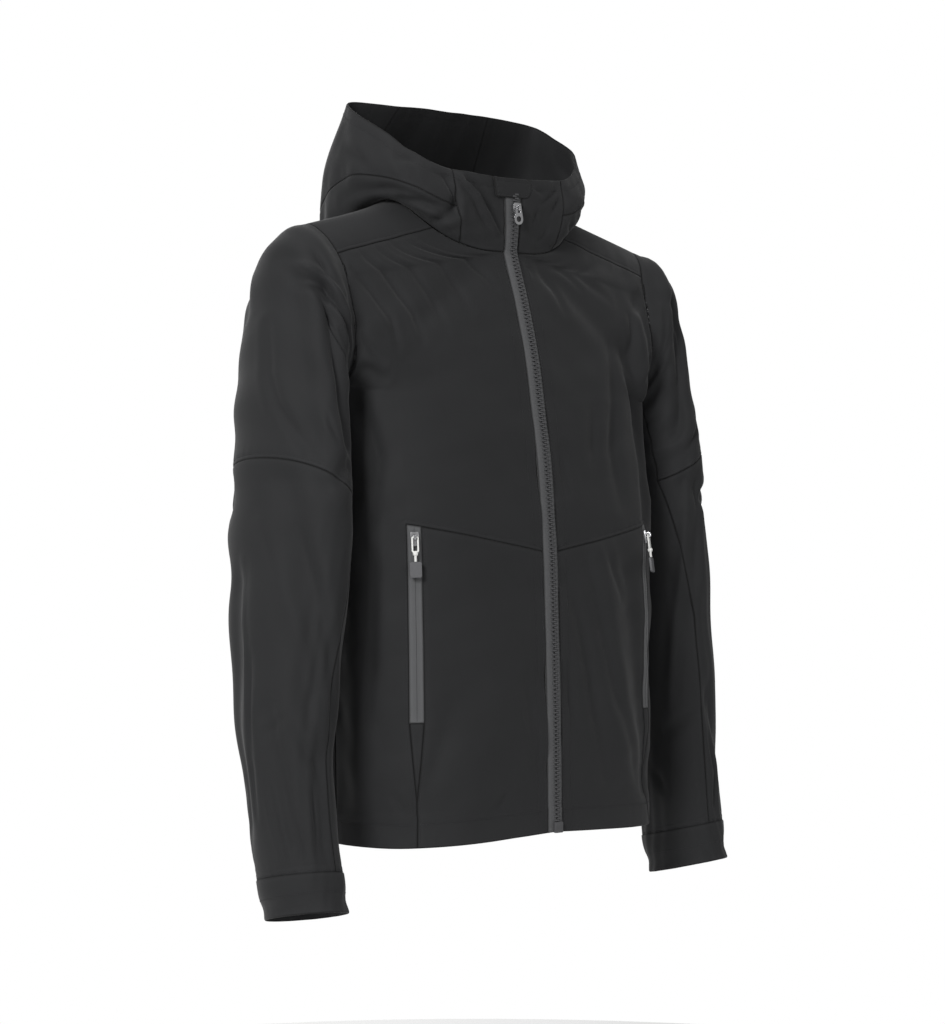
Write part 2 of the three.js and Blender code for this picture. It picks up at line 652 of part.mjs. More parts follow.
function pocketZip({ side, name }) {
  const surface = bodies[side];
  const strip = (rows) => rows.map(({ u, inset }) => {
    const centre = columnAt(surface, u, POCKET_AT);
    const place = inset ? shiftU(surface, u, centre, inset) : u;
    const half = pocketHalf(u) - halfGap;
    return [-half, half].map((aside) => {
      return sampleOf(surface, place, columnAt(surface, u, POCKET_AT + aside), 0);
    });
  });
  const zip = strip([
    { u: POCKET_FOOT, inset: halfGap }, { u: 2.5 }, { u: 3 }, { u: 3.5 }, { u: 3.75 },
    { u: WAIST, inset: -halfGap },
  ]);
  const wedge = strip([{ u: WEDGE_START }, { u: 1.5 }, { u: POCKET_FOOT, inset: -halfGap }]);
  add(`pocket_zip_${name}`, wall(cellsBetween(zip, side), CLOTH), 'tape');
  add(`pocket_wedge_${name}`, wall(cellsBetween(wedge, side), CLOTH), 'cloth');
}

function yoke({ side, name }) {
  const surface = bodies[side];
  const rows = yokeTurns.map((turn) => ({ u: bodyAtNeck(turn) }));
  rows[0].inset = halfGap;
  rows[rows.length - 1].inset = -halfGap;
  const columns = bodyColumns(side, (u) => shiftV(surface, u, 0, halfGap));
  const grid = bodyGrid(side, rows, columns, () => true);
  add(`shoulder_yoke_${name}`, wall(cellsBetween(grid, side), CLOTH), 'cloth');
}

function backPanel() {
  const cells = [];
  for (const { side } of sides) {
    const surface = bodies[side];
    const armRows = backNeckTurns.map((turn) => ({ u: bodyAtNeck(turn) }));
    armRows[0].inset = halfGap;
    armRows[armRows.length - 1] = { u: BACK_NECK, inset: halfGap };
    const mainRows = spread(BACK_NECK, LAST, 2 * (LAST - BACK_NECK)).map((u) => ({ u }));
    mainRows[0].inset = halfGap;
    const neckEdge = (u) => (u < BACK_NECK ? shiftV(surface, u, 0, halfGap) : 0);
    const columns = bodyColumns(side, neckEdge);
    cells.push(...cellsBetween(bodyGrid(side, armRows, columns, () => true), side));
    cells.push(...cellsBetween(bodyGrid(side, mainRows, columns, () => true), side));
  }
  add('back_panel', wall(cells, CLOTH), 'cloth');
}

sides.forEach(fronts);
sides.forEach(pocketZip);
sides.forEach(yoke);
backPanel();

// Hood and collar

// A grid on the hood: columns at places on the neck seam, lines at heights, with seam insets.
function hoodGrid(surface, columns, heights) {
  const lastColumn = columns.turns.length - 1;
  const lastHeight = heights.places.length - 1;
  return heights.places.map((w, i) => columns.turns.map((turn, j) => {
    let h = hoodAtNeck(turn);
    let place = w;
    if (j === 0 && columns.insetFrom) {
      h = shiftU(surface, h, w, columns.insetFrom);
    }
    if (j === lastColumn && columns.insetTo) {
      h = shiftU(surface, h, w, -columns.insetTo);
    }
    if (i === 0 && heights.insetFrom) {
      place = shiftV(surface, h, w, heights.insetFrom);
    }
    if (i === lastHeight && heights.insetTo) {
      place = shiftV(surface, h, w, -heights.insetTo);
    }
    return sampleOf(surface, h, place, 0);
  }));
}

const neckInset = halfGap * 2;
const bandPlaces = spread(0, BAND_TOP, 5);
const panelPlaces = spread(BAND_TOP, 1, 4);
const fullPlaces = [...bandPlaces, ...panelPlaces.slice(1)];

function hoodPieces({ side, name }) {
  const surface = hoods[side];
  const collarColumns = { turns: collarTurns, insetTo: halfGap };
  const sideColumns = { turns: hoodSideTurns, insetFrom: halfGap, insetTo: halfGap };
  const collarHeight = { places: fullPlaces, insetFrom: neckInset };
  const bandHeight = { places: bandPlaces, insetFrom: neckInset, insetTo: halfGap };
  const panelHeight = { places: panelPlaces, insetFrom: halfGap };
  const pieces = [
    { part: 'collar_front', columns: collarColumns, heights: collarHeight },
    { part: 'hood_band', columns: sideColumns, heights: bandHeight },
    { part: 'hood_side', columns: sideColumns, heights: panelHeight },
  ];
  for (const { part, columns, heights } of pieces) {
    const cells = cellsBetween(hoodGrid(surface, columns, heights), side);
    add(`${part}_${name}`, wall(cells, CLOTH), 'cloth');
  }
}

function hoodCentre() {
  const cells = [];
  for (const { side } of sides) {
    const columns = { turns: [CENTRE_PANEL, 0.94, 1], insetFrom: halfGap };
    const heights = { places: fullPlaces, insetFrom: neckInset };
    cells.push(...cellsBetween(hoodGrid(hoods[side], columns, heights), side));
  }
  add('hood_centre', wall(cells, CLOTH), 'cloth');
}

sides.forEach(hoodPieces);
hoodCentre();

// Sleeves

function lineThrough(rows, column, ring) {
  const k = Math.min(rows.findIndex((row) => ring <= row.ring), rows.length - 1);
  if (k <= 0) {
    return rows[0][column];
  }
  const share = (ring - rows[k - 1].ring) / (rows[k].ring - rows[k - 1].ring);
  return rows[k - 1][column] + (rows[k][column] - rows[k - 1][column]) * share;
}

function sleeveGrid(side, rings, turns) {
  const surface = sleeves[side];
  return rings.map(({ u, inset }) => turns.map((turnAt) => {
    const turn = turnAt(u);
    const place = inset ? shiftU(surface, u, turn, inset) : u;
    const sample = sampleOf(surface, place, turn, 0);
    if (u === 0) {
      sample.out = armholeWay(side, turn, sample.out);
    }
    return sample;
  }));
}

// Body rows whose ends on the armhole the sleeve's own columns start from.
const outerStarts = [
  15, 14.5, 14, 13.5, BACK_NECK, bodyAtNeck(0.82), BACK_YOKE, bodyAtNeck(0.59), bodyAtNeck(0.47),
  YOKE, bodyAtNeck(0.21), bodyAtNeck(zipTurn), 8.5, 8, 7.5, 7,
].map(holeTurnAt);
const underStarts = [7, 6.5, 6].map(holeTurnAt).concat([15.5, 15].map((u) => holeTurnAt(u) + 1));
const evenFrom = 1.5;         // ring from which a sleeve's columns are evenly spread
const CUFF_FACES = 20;        // flat faces round a cuff

function sleeveColumns(starts, edgeFrom, edgeTo, gap) {
  const last = starts.length - 1;
  return starts.map((start, k) => (u) => {
    const from = edgeFrom(u) + gap;
    const to = edgeTo(u) - gap;
    const even = from + ((to - from) * k) / last;
    const share = THREE.MathUtils.smoothstep(u, 0, evenFrom);
    const first = k === 0 ? from : k === last ? to : start;
    return first + (even - first) * share;
  });
}

function sleevePieces({ side, name }) {
  const frontEdge = (u) => lineThrough(underSleeveRows, 'front', u);
  const backEdge = (u) => lineThrough(underSleeveRows, 'back', u);
  const girthShare = halfGap / SLEEVE_GIRTH;
  const outerTurns = sleeveColumns(outerStarts, (u) => backEdge(u) - 1, frontEdge, girthShare);
  const underTurns = sleeveColumns(underStarts, frontEdge, backEdge, girthShare);
  const upperRings = spread(0, ELBOW, 2 * ELBOW).map((u) => ({ u }));
  const lowerRings = spread(ELBOW, CUFF, 2 * (CUFF - ELBOW)).map((u) => ({ u }));
  upperRings[0] = { u: 0, inset: SEAM_GAP };
  lowerRings[lowerRings.length - 1] = { u: CUFF, inset: -halfGap };
  const upper = [...upperRings.slice(0, -1), { u: ELBOW, inset: -halfGap }];
  const lower = [{ u: ELBOW, inset: halfGap }, ...lowerRings.slice(1)];
  const under = [...upperRings, ...lowerRings.slice(1)];
  const cuff = [{ u: CUFF, inset: halfGap }, { u: SLEEVE_END }];
  const roundTurns = spread(0, 1, CUFF_FACES).map((share) => () => share);
  const pieces = [
    { part: 'upper_sleeve', rings: upper, turns: outerTurns },
    { part: 'lower_sleeve', rings: lower, turns: outerTurns },
    { part: 'under_sleeve', rings: under, turns: underTurns },
    { part: 'cuff', rings: cuff, turns: roundTurns },
  ];
  for (const { part, rings, turns } of pieces) {
    const cells = cellsBetween(sleeveGrid(side, rings, turns), side);
    add(`${part}_${name}`, wall(cells, CLOTH), 'cloth');
  }
}

sides.forEach(sleevePieces);

// Main zip: two tapes, the row of teeth and the guard over its top

const zipBodyRows = [...skirtRows, ...chestSteps].map(({ u }) => u).filter((u) => u < NECK);
const TEETH_RISE = 1.6;       // thickness of the row of teeth
const TEETH_START = 0.25;     // body row where the teeth start, above the bottom box
const teethTop = LIFT + TEETH_RISE;
const GUARD_FOOT = 0.74;      // height on the collar where the chin guard starts
const GUARD_END = 21;         // how far the chin guard reaches to each side
const GUARD_CORNER = 13;      // where its rounded end on the wearer's left starts
const GUARD_SHORT = 0.45;     // share of its height that the end loses above and below

function collarPlace(distance) {
  const middleHeight = 0.5;
  return placeWhere((h) => hoods[1].at(h, middleHeight).x, Math.abs(distance), 0, COLLAR_END * 2);
}

// A sample on the front, at a signed distance from the centre: on the body or on the collar.
function frontSample(station, distance, lift) {
  const side = distance < 0 ? -1 : 1;
  if (station.u !== undefined) {
    const place = columnAt(bodies[side], station.u, Math.abs(distance));
    return sampleOf(bodies[side], station.u, place, lift);
  }
  return sampleOf(hoods[side], collarPlace(distance), station.w, lift);
}

const zipStations = [...zipBodyRows.map((u) => ({ u })), ...fullPlaces.map((w) => ({ w }))];
const teethStations = zipStations.slice(1).filter(({ w }) => w === undefined || w < GUARD_FOOT);
teethStations.unshift({ u: TEETH_START });

function strip(name, stations, distances, lift, thickness, finish) {
  const lines = stations.map((station) => distances.map((d) => frontSample(station, d, lift)));
  add(name, wall(cellsBetween(lines, 1), thickness), finish);
}

const tapeEdge = ZIP_HALF - halfGap;
const rightTape = [-tapeEdge, 0, TEETH_AT - halfGap];
const leftTape = [TEETH_AT + halfGap, tapeEdge];
const teethLines = [TEETH_AT - TEETH_HALF, TEETH_AT, TEETH_AT + TEETH_HALF];
strip('zip_tape_right', zipStations, rightTape, 0, CLOTH, 'tape');
strip('zip_tape_left', zipStations, leftTape, 0, CLOTH, 'tape');
strip('zip_teeth', teethStations, teethLines, teethTop, TEETH_RISE, 'teeth');

function chinGuard() {
  const distances = [-GUARD_END, -14, -7, 0, 7, GUARD_CORNER, 17, 20, GUARD_END];
  const lines = spread(0, 1, 3).map((share) => distances.map((distance) => {
    const turned = Math.max(0, (distance - GUARD_CORNER) / (GUARD_END - GUARD_CORNER));
    const short = GUARD_SHORT * (1 - Math.sqrt(Math.max(0, 1 - turned * turned)));
    const w = GUARD_FOOT + (1 - GUARD_FOOT) * (short + share * (1 - 2 * short));
    return frontSample({ w }, distance, CLOTH + LIFT);
  }));
  add('chin_guard', wall(cellsBetween(lines, 1), CLOTH), 'cloth');
}

chinGuard();

// Sliders and pulls: in their own frame x is across the zip, y up it and z away from the cloth

const wasm = await Module();
wasm.setup();

function solid(geometry) {
  const bare = geometry.index ? geometry.toNonIndexed() : geometry;
  bare.deleteAttribute('normal');
  bare.deleteAttribute('uv');
  const merged = mergeVertices(bare);
  const vertProperties = new Float32Array(merged.attributes.position.array);
  const triVerts = new Uint32Array(merged.index.array);
  return new wasm.Manifold(new wasm.Mesh({ numProp: 3, vertProperties, triVerts }));
}

function joined(...geometries) {
  const mesh = geometries.map(solid).reduce((all, next) => all.add(next)).getMesh();
  const geometry = new THREE.BufferGeometry();
  geometry.setAttribute('position', new THREE.Float32BufferAttribute(mesh.vertProperties, 3));
  geometry.setIndex([...mesh.triVerts]);
  return geometry;
}

const BASE_LIFT = 0.3;        // space under a slider
const BASE_RISE = 2.2;        // thickness of a slider's body
const EYE_RISE = 1.9;         // hinge of the pull above the slider's body
const EYE_HOLE = 1.7;         // radius of the eye that the pull turns in
const EYE_EDGE = 3.1;         // outer radius of that eye
const EYE_WIDE = 2.6;         // width of the eye along the hinge
const roundSteps = 6;

function plate(shape, thickness, middle) {
  const settings = { depth: thickness, bevelEnabled: false, curveSegments: roundSteps };
  return new THREE.ExtrudeGeometry(shape, settings).translate(0, 0, middle - thickness / 2);
}

function roundedBox(x0, y0, x1, y1, radius) {
  const shape = new THREE.Shape();
  shape.absarc(x1 - radius, y1 - radius, radius, 0, Math.PI / 2, false);
  shape.absarc(x0 + radius, y1 - radius, radius, Math.PI / 2, Math.PI, false);
  shape.absarc(x0 + radius, y0 + radius, radius, Math.PI, Math.PI * 1.5, false);
  shape.absarc(x1 - radius, y0 + radius, radius, Math.PI * 1.5, Math.PI * 2, false);
  shape.closePath();
  return shape;
}

// Its origin is the middle of the pull's hinge.
function sliderShape(width, length) {
  const outline = new THREE.Shape();
  outline.moveTo(-width * 0.34, -length * 0.62);
  outline.lineTo(width * 0.34, -length * 0.62);
  outline.lineTo(width * 0.5, length * 0.1);
  outline.lineTo(width * 0.42, length * 0.38);
  outline.lineTo(-width * 0.42, length * 0.38);
  outline.lineTo(-width * 0.5, length * 0.1);
  outline.closePath();
  const eye = new THREE.Shape();
  eye.absarc(0, 0, EYE_EDGE, 0, Math.PI * 2, false);
  const hole = new THREE.Path();
  hole.absarc(0, 0, EYE_HOLE, 0, Math.PI * 2, true);
  eye.holes.push(hole);
  const ring = plate(eye, EYE_WIDE, 0).rotateY(Math.PI / 2);
  return joined(plate(outline, BASE_RISE, -EYE_RISE - BASE_RISE / 2), ring);
}

const PULL_THICK = 1.6;       // thickness of the metal pull
const PULL_BAR = 0.8;         // half the height of the bar that turns in the eye
const MAIN_SLIDER = { width: 11, length: 14 };
const POCKET_SLIDER = { width: 9, length: 14 };

// A narrow neck with a slot for the eye, widening to a ring around a hole.
const MAIN_PULL = { neck: 3.1, ring: 5.8, slotHalf: 1.8, slotFoot: -5, holeAt: -11.4, hole: 3.1 };

function mainPull() {
  const { neck: neckHalf, ring, slotHalf, slotFoot, holeAt, hole } = MAIN_PULL;
  const shoulder = 0.35;      // turn of the ring where its neck leaves it
  const shape = new THREE.Shape();
  shape.moveTo(neckHalf, PULL_BAR);
  shape.lineTo(-neckHalf, PULL_BAR);
  shape.absarc(0, holeAt, ring, Math.PI - shoulder, 2 * Math.PI + shoulder, false);
  shape.closePath();
  const slot = new THREE.Path();
  slot.moveTo(-slotHalf, -PULL_BAR);
  slot.lineTo(slotHalf, -PULL_BAR);
  slot.lineTo(slotHalf, slotFoot);
  slot.lineTo(-slotHalf, slotFoot);
  slot.closePath();
  const round = new THREE.Path();
  round.absarc(0, holeAt, hole, 0, Math.PI * 2, true);
  shape.holes.push(slot, round);
  return plate(shape, PULL_THICK, 0);
}

const LOOP = { half: 3.6, top: 0.8, foot: -15, band: 1.5, thick: 1.5, corner: 1.8, slotCorner: 0.6 };
const KNOT = { at: -16.2, radius: 2.7 };
const STRAND = { foot: -24, radius: 1.3 };
const TAB = { half: 6, top: -24.3, foot: -40, thick: 2.6, corner: 2.2 };

function pocketLoop() {
  const shape = roundedBox(-LOOP.half, LOOP.foot, LOOP.half, LOOP.top, LOOP.corner);
  const slotHalf = LOOP.half - LOOP.band;
  const slotFoot = LOOP.foot + LOOP.band;
  const slot = roundedBox(-slotHalf, slotFoot, slotHalf, LOOP.top - LOOP.band, LOOP.slotCorner);
  shape.holes.push(new THREE.Path(slot.getPoints(3).reverse()));
  const knot = new THREE.SphereGeometry(KNOT.radius, 8, 6).translate(0, KNOT.at, 0);
  const strandLength = KNOT.at - STRAND.foot;
  const strand = new THREE.CylinderGeometry(STRAND.radius, STRAND.radius, strandLength, 8);
  return joined(plate(shape, LOOP.thick, 0), knot, strand.translate(0, KNOT.at - strandLength / 2, 0));
}

function pocketTab() {
  return plate(roundedBox(-TAB.half, TAB.foot, TAB.half, TAB.top, TAB.corner), TAB.thick, 0);
}

// The frame of a pull's hinge above a sample: across, up along the zip, and out.
function hingeFrame(sample, above, under) {
  const up = above.point.clone().sub(sample.point);
  const out = sample.out.clone().normalize();
  up.addScaledVector(out, -up.dot(out)).normalize();
  const across = new THREE.Vector3().crossVectors(up, out);
  const origin = sample.point.clone().addScaledVector(out, under + BASE_LIFT + BASE_RISE + EYE_RISE);
  return new THREE.Matrix4().makeBasis(across, up, out).setPosition(origin);
}

const MAIN_SLIDER_AT = 0.61;  // height of the main slider on the collar
const POCKET_SLIDER_AT = 3.86; // row of a pocket slider
const A_LITTLE_UP = 0.05;     // step up the cloth that gives the way of a zip
const mainPlace = frontSample({ w: MAIN_SLIDER_AT }, TEETH_AT, 0);
const mainAbove = frontSample({ w: MAIN_SLIDER_AT + A_LITTLE_UP }, TEETH_AT, 0);
const mainFrame = hingeFrame(mainPlace, mainAbove, teethTop);
const mainSlider = sliderShape(MAIN_SLIDER.width, MAIN_SLIDER.length);
add('zip_slider', mainSlider, 'metal').applyMatrix4(mainFrame);
add('zip_pull', mainPull(), 'metal').applyMatrix4(mainFrame);

const BOX = { half: 5.2, height: 11, rise: 3.4, corner: 1, row: 0.1 };
const boxPlace = frontSample({ u: BOX.row }, TEETH_AT, 0);
const boxAbove = frontSample({ u: BOX.row + A_LITTLE_UP }, TEETH_AT, 0);
const boxFrame = hingeFrame(boxPlace, boxAbove, BOX.rise / 2 - BASE_RISE - EYE_RISE);
const boxOutline = roundedBox(-BOX.half, -BOX.height / 2, BOX.half, BOX.height / 2, BOX.corner);
add('zip_bottom_box', plate(boxOutline, BOX.rise, 0), 'teeth').applyMatrix4(boxFrame);

for (const { side, name } of sides) {
  const surface = bodies[side];
  const at = (u) => sampleOf(surface, u, columnAt(surface, u, POCKET_AT), 0);
  const frame = hingeFrame(at(POCKET_SLIDER_AT), at(POCKET_SLIDER_AT + A_LITTLE_UP), 0);
  const slider = sliderShape(POCKET_SLIDER.width, POCKET_SLIDER.length);
  add(`pocket_slider_${name}`, slider, 'darkMetal').applyMatrix4(frame);
  add(`pocket_loop_${name}`, pocketLoop(), 'cord').applyMatrix4(frame);
  add(`pocket_tab_${name}`, pocketTab(), 'tab').applyMatrix4(frame);
}

export default jacket;
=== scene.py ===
"""Softshell jacket with its hood down, filled out as if worn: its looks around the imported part.

The surfaces repeat the tables of the part's source, in millimetres, and every mesh is made in
metres. The front faces -Y, the wearer's left is +X and the origin is the middle of the neck.
"""

import math

import bmesh
import bpy
import numpy as np
from mathutils import Matrix, Vector
from mathutils.bvhtree import BVHTree
from mathutils.kdtree import KDTree


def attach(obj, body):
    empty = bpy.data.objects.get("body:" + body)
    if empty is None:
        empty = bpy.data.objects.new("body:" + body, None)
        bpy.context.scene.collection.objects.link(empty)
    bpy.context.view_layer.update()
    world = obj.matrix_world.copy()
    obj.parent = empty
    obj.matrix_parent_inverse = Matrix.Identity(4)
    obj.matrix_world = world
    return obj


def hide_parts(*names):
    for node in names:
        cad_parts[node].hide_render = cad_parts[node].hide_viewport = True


bl_info = {
    "name": "Softshell jacket",
    "version": (1, 0, 0),
    "blender": (4, 5, 0),
    "location": "3D View > Sidebar > Jacket",
    "description": "Makes a sewn softshell jacket with its zips, pulls and stitching",
    "category": "Add Mesh",
}

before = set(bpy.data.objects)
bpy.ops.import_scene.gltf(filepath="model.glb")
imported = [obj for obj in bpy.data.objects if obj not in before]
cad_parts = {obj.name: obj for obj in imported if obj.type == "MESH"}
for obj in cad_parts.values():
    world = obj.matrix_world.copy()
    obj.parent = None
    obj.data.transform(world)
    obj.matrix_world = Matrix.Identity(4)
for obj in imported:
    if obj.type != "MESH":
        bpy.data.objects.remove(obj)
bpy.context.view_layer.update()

# Sizes of the cut and the seams, in millimetres

MM = 0.001
CLOTH = 1.6              # thickness of the bonded cloth
FOLD_GAIN = 1.3          # the finer creases are this many times as deep as their tables say
HALF_GAP = -0.08         # half the space between two pieces at a seam; below zero they lap
ZIP_HALF = 9.5           # half the width of the main zip with its tapes
TEETH_AT = 2.5           # the teeth are this far to the wearer's left of the centre
POCKET_AT = 157.0        # distance of a pocket zip from the centre front
POCKET_HALF = 6.0        # half the width of a pocket zip
HALF_GIRTH = 255.0       # centre front to side seam, around the body
SLEEVE_GIRTH = 400.0     # around a sleeve above the elbow
RING_LENGTH = 75.0       # mean distance between two rings of a sleeve
HEM_TURN = 26.0          # height of the turned-up hem
TURN_RAISE = 0.8         # how far a turned-up edge stands proud
HEM_ROW = 23.5           # stitch row that holds the hem, above the edge
CUFF_ROW = 20.0          # stitch row that holds the cuff's turning
RIM_ROW = 11.0           # stitch row along the rim of the hood
SEAM_ROW = 4.6           # topstitching beside a seam
PLACKET_ROWS = (3.4, 12.5)   # two rows beside the main zip
COIL_PITCH = 1.7         # loops of the knitted middle line of a pocket zip
COIL_LOOP = 0.8          # length of one loop, as a part of their pitch
COIL_WIDTH = 0.7
# Set figures for one turn and one height of half the hood, in its creases and seam gaps. The form
# itself measures 281 to 441 around and 77 to 374 high.
HOOD_ROUND = 430.0
HOOD_TALL = 110.0
HOOD_FOOT = 36.0

ARMHOLE = np.array([
    (221, 8, -27), (214, -16, -42), (205, -31, -70), (203, -41, -103), (202, -48, -139),
    (199, -38, -173), (195, 2, -192), (196, 44, -175), (199, 66, -141), (203, 70, -105),
    (207, 58, -71), (214, 35, -42),
], float)

NECK_LINE = np.array([
    (0, -48, -46), (40, -45, -45), (72, -37, -36), (95, -26, -20), (110, -8, -2),
    (109, 20, 7), (84, 48, 8), (46, 62, 6), (0, 68, 5),
], float)

# Rows of the body from the front hem over the shoulder to the back hem
CENTRE_FRONT = [
    (-116, -640), (-116, -590), (-115, -520), (-112, -430), (-109, -357), (-101, -270),
    (-90, -205), (-82, -160), (-67, -104),
]
CENTRE_BACK = [
    (101, -60), (114, -125), (117, -200), (113, -275), (108, -350), (112, -440), (117, -535),
    (118, -596), (117, -645),
]
SIDE_FRONT = [(188, -648), (189, -596), (190, -524), (191, -420), (192, -322), (192, -258)]
NECK_TURNS = [0, 0.34, 0.53, 0.7, 1]
HOLE_TURNS = [0.5, 0.41, 0.29, 0.2, 0.135, 0, -0.1, -0.18, -0.27, -0.39, -0.5]
SQUARES = [
    3.1, 3.1, 3.1, 3.1, 3.0, 2.9, 2.5, 1.9, 1.55, 1.35, 1.15, 1.1, 1.2, 1.4, 1.8, 2.2, 2.6,
    2.9, 3.0, 3.1, 3.1, 3.1, 3.1,
]
# Rows where the pieces of the body begin and end
WEDGE_POINT = 0.9
POCKET_FOOT = 2.0
WAIST = 4.0
ARMPIT = 6.0
NECK = 9.0
YOKE = 10.0
BACK_YOKE = 12.0
BACK_NECK = 13.0
BACK_ARMPIT = 16.0
BODY_LAST = 22.0
TOP_ROW = 11.2           # row at the top of the shoulder, where folds die away
FACE_ROW = 11.0          # front and back part here

HOOD_NECK = [0, 0.13, 0.27, 0.4, 0.53, 0.65, 0.77, 0.89, 1]
HOOD_FOLD = np.array([
    (0, -50, -24), (44, -49, -24), (82, -44, -18), (110, -31, -2), (128, -4, 7),
    (139, 40, 0), (124, 96, -30), (76, 134, -78), (0, 143, -94),
], float)
HOOD_BULGE = np.array([
    (0, -51, 4), (50, -51, 4), (88, -45, 10), (118, -32, 24), (137, -4, 36), (144, 40, 46),
    (134, 96, 34), (82, 140, 4), (0, 155, -6),
], float)
HOOD_RIM = np.array([
    (0, -50, 30), (56, -47, 33), (86, -38, 38), (112, -23, 52), (129, -4, 71),
    (136, 40, 96), (122, 68, 111), (56, 62, 113), (0, 60, 113),
], float)
COLLAR_END = 0.21        # ways round the hood where its pieces meet
CENTRE_PANEL = 0.88
BAND_TOP = 0.56          # height of the seam above the lower band
GUARD_FOOT = 0.74        # height of the chin guard's lower edge
GUARD_END = 21.0         # reach of the chin guard to each side of the centre

# Rings of a sleeve: outer x z, inner x z, reach to the front and the back, tip in degrees
SLEEVE_RINGS = [
    (244, -36, 196, -199, -56, 76, 0),
    (258, -66, 197, -212, -58, 85, 0),
    (266, -122, 198, -232, -64, 91, 0),
    (273, -190, 198, -262, -71, 96, 0),
    (282, -262, 198, -312, -76, 95, 2),
    (289, -345, 200, -376, -79, 92, 6),
    (297, -450, 210, -462, -76, 71, 8),
    (303, -560, 225, -566, -74, 39, 10),
    (297, -668, 225, -674, -86, 16, 12),
    (295, -706, 226, -712, -93, 4, 12),
]
LEFT_LIFTS = [0, 0, 0, 2, 9, 22, 21, 18, 14, 8, 6]   # the rings of the left sleeve lie higher
# Rings where the pieces of a sleeve meet, and the turns of its lower panel there
ELBOW = 5.0
CUFF = 9.0
SLEEVE_END = 10.0
UNDER_RINGS = [0, 5, 7, 9]
UNDER_FRONT = [0.41, 0.38, 0.29, 0.28]
UNDER_BACK = [0.61, 0.62, 0.63, 0.64]

# Main folds of the body: face, across and height of both ends, width and depth
BODY_FOLDS = [
    ("front", 34, -60, 150, -150, 17, -3.5),
    ("front", -34, -58, -120, -120, 15, -4),
    ("front", 190, -110, 176, -300, 18, 7),
    ("front", 150, -150, 142, -320, 15, -5),
    ("front", 185, -330, 196, -600, 26, 8),
    ("front", 96, -380, 130, -600, 18, -6),
    ("front", 58, -360, 84, -560, 17, 5),
    ("front", -60, -500, -96, -630, 22, 4),
    ("front", -200, -210, -165, -260, 16, -4),
    ("front", -215, -340, -205, -600, 22, 4),
    ("back", 190, -170, 150, -330, 22, -7),
    ("back", -185, -180, -140, -350, 24, -7),
    ("back", 110, -360, 128, -620, 24, 6),
    ("back", -60, -340, -84, -600, 26, -5),
    ("back", 30, -300, 22, -560, 26, -4),
    ("back", -150, -400, -160, -620, 22, 5),
]

# Main folds of the sleeves: side, ring and turn of both ends, width and depth
SLEEVE_FOLDS = [
    (-1, 1.2, 0.14, 4.2, 0.3, 15, -8),
    (-1, 2.0, 0.06, 5.2, 0.16, 16, -5),
    (-1, 4.6, 0.3, 5.2, 0.2, 12, -4),
    (-1, 5.3, 0.08, 7.4, 0.2, 17, -8),
    (-1, 6.4, 0.94, 8.4, 0.9, 15, -5),
    (-1, 7.6, 0.06, 9, 0.14, 13, -6),
    (-1, 8, 0.25, 9, 0.22, 12, -5),
    (-1, 3.2, 0.72, 5.4, 0.86, 18, -6),
    (-1, 5.2, 0.7, 6.2, 0.84, 15, -6),
    (1, 1.3, 0.18, 4, 0.3, 15, -7),
    (1, 4.6, 0.12, 7.4, 0.05, 15, -6),
    (1, 5.2, 0.3, 6, 0.14, 14, -5),
    (1, 7.8, 0.24, 8.8, 0.08, 14, -6),
    (1, 7.2, 0.84, 8.9, 0.9, 15, -5),
    (1, 3.4, 0.74, 5.2, 0.86, 18, -6),
    (1, 5.4, 0.72, 6.3, 0.82, 15, -6),
]

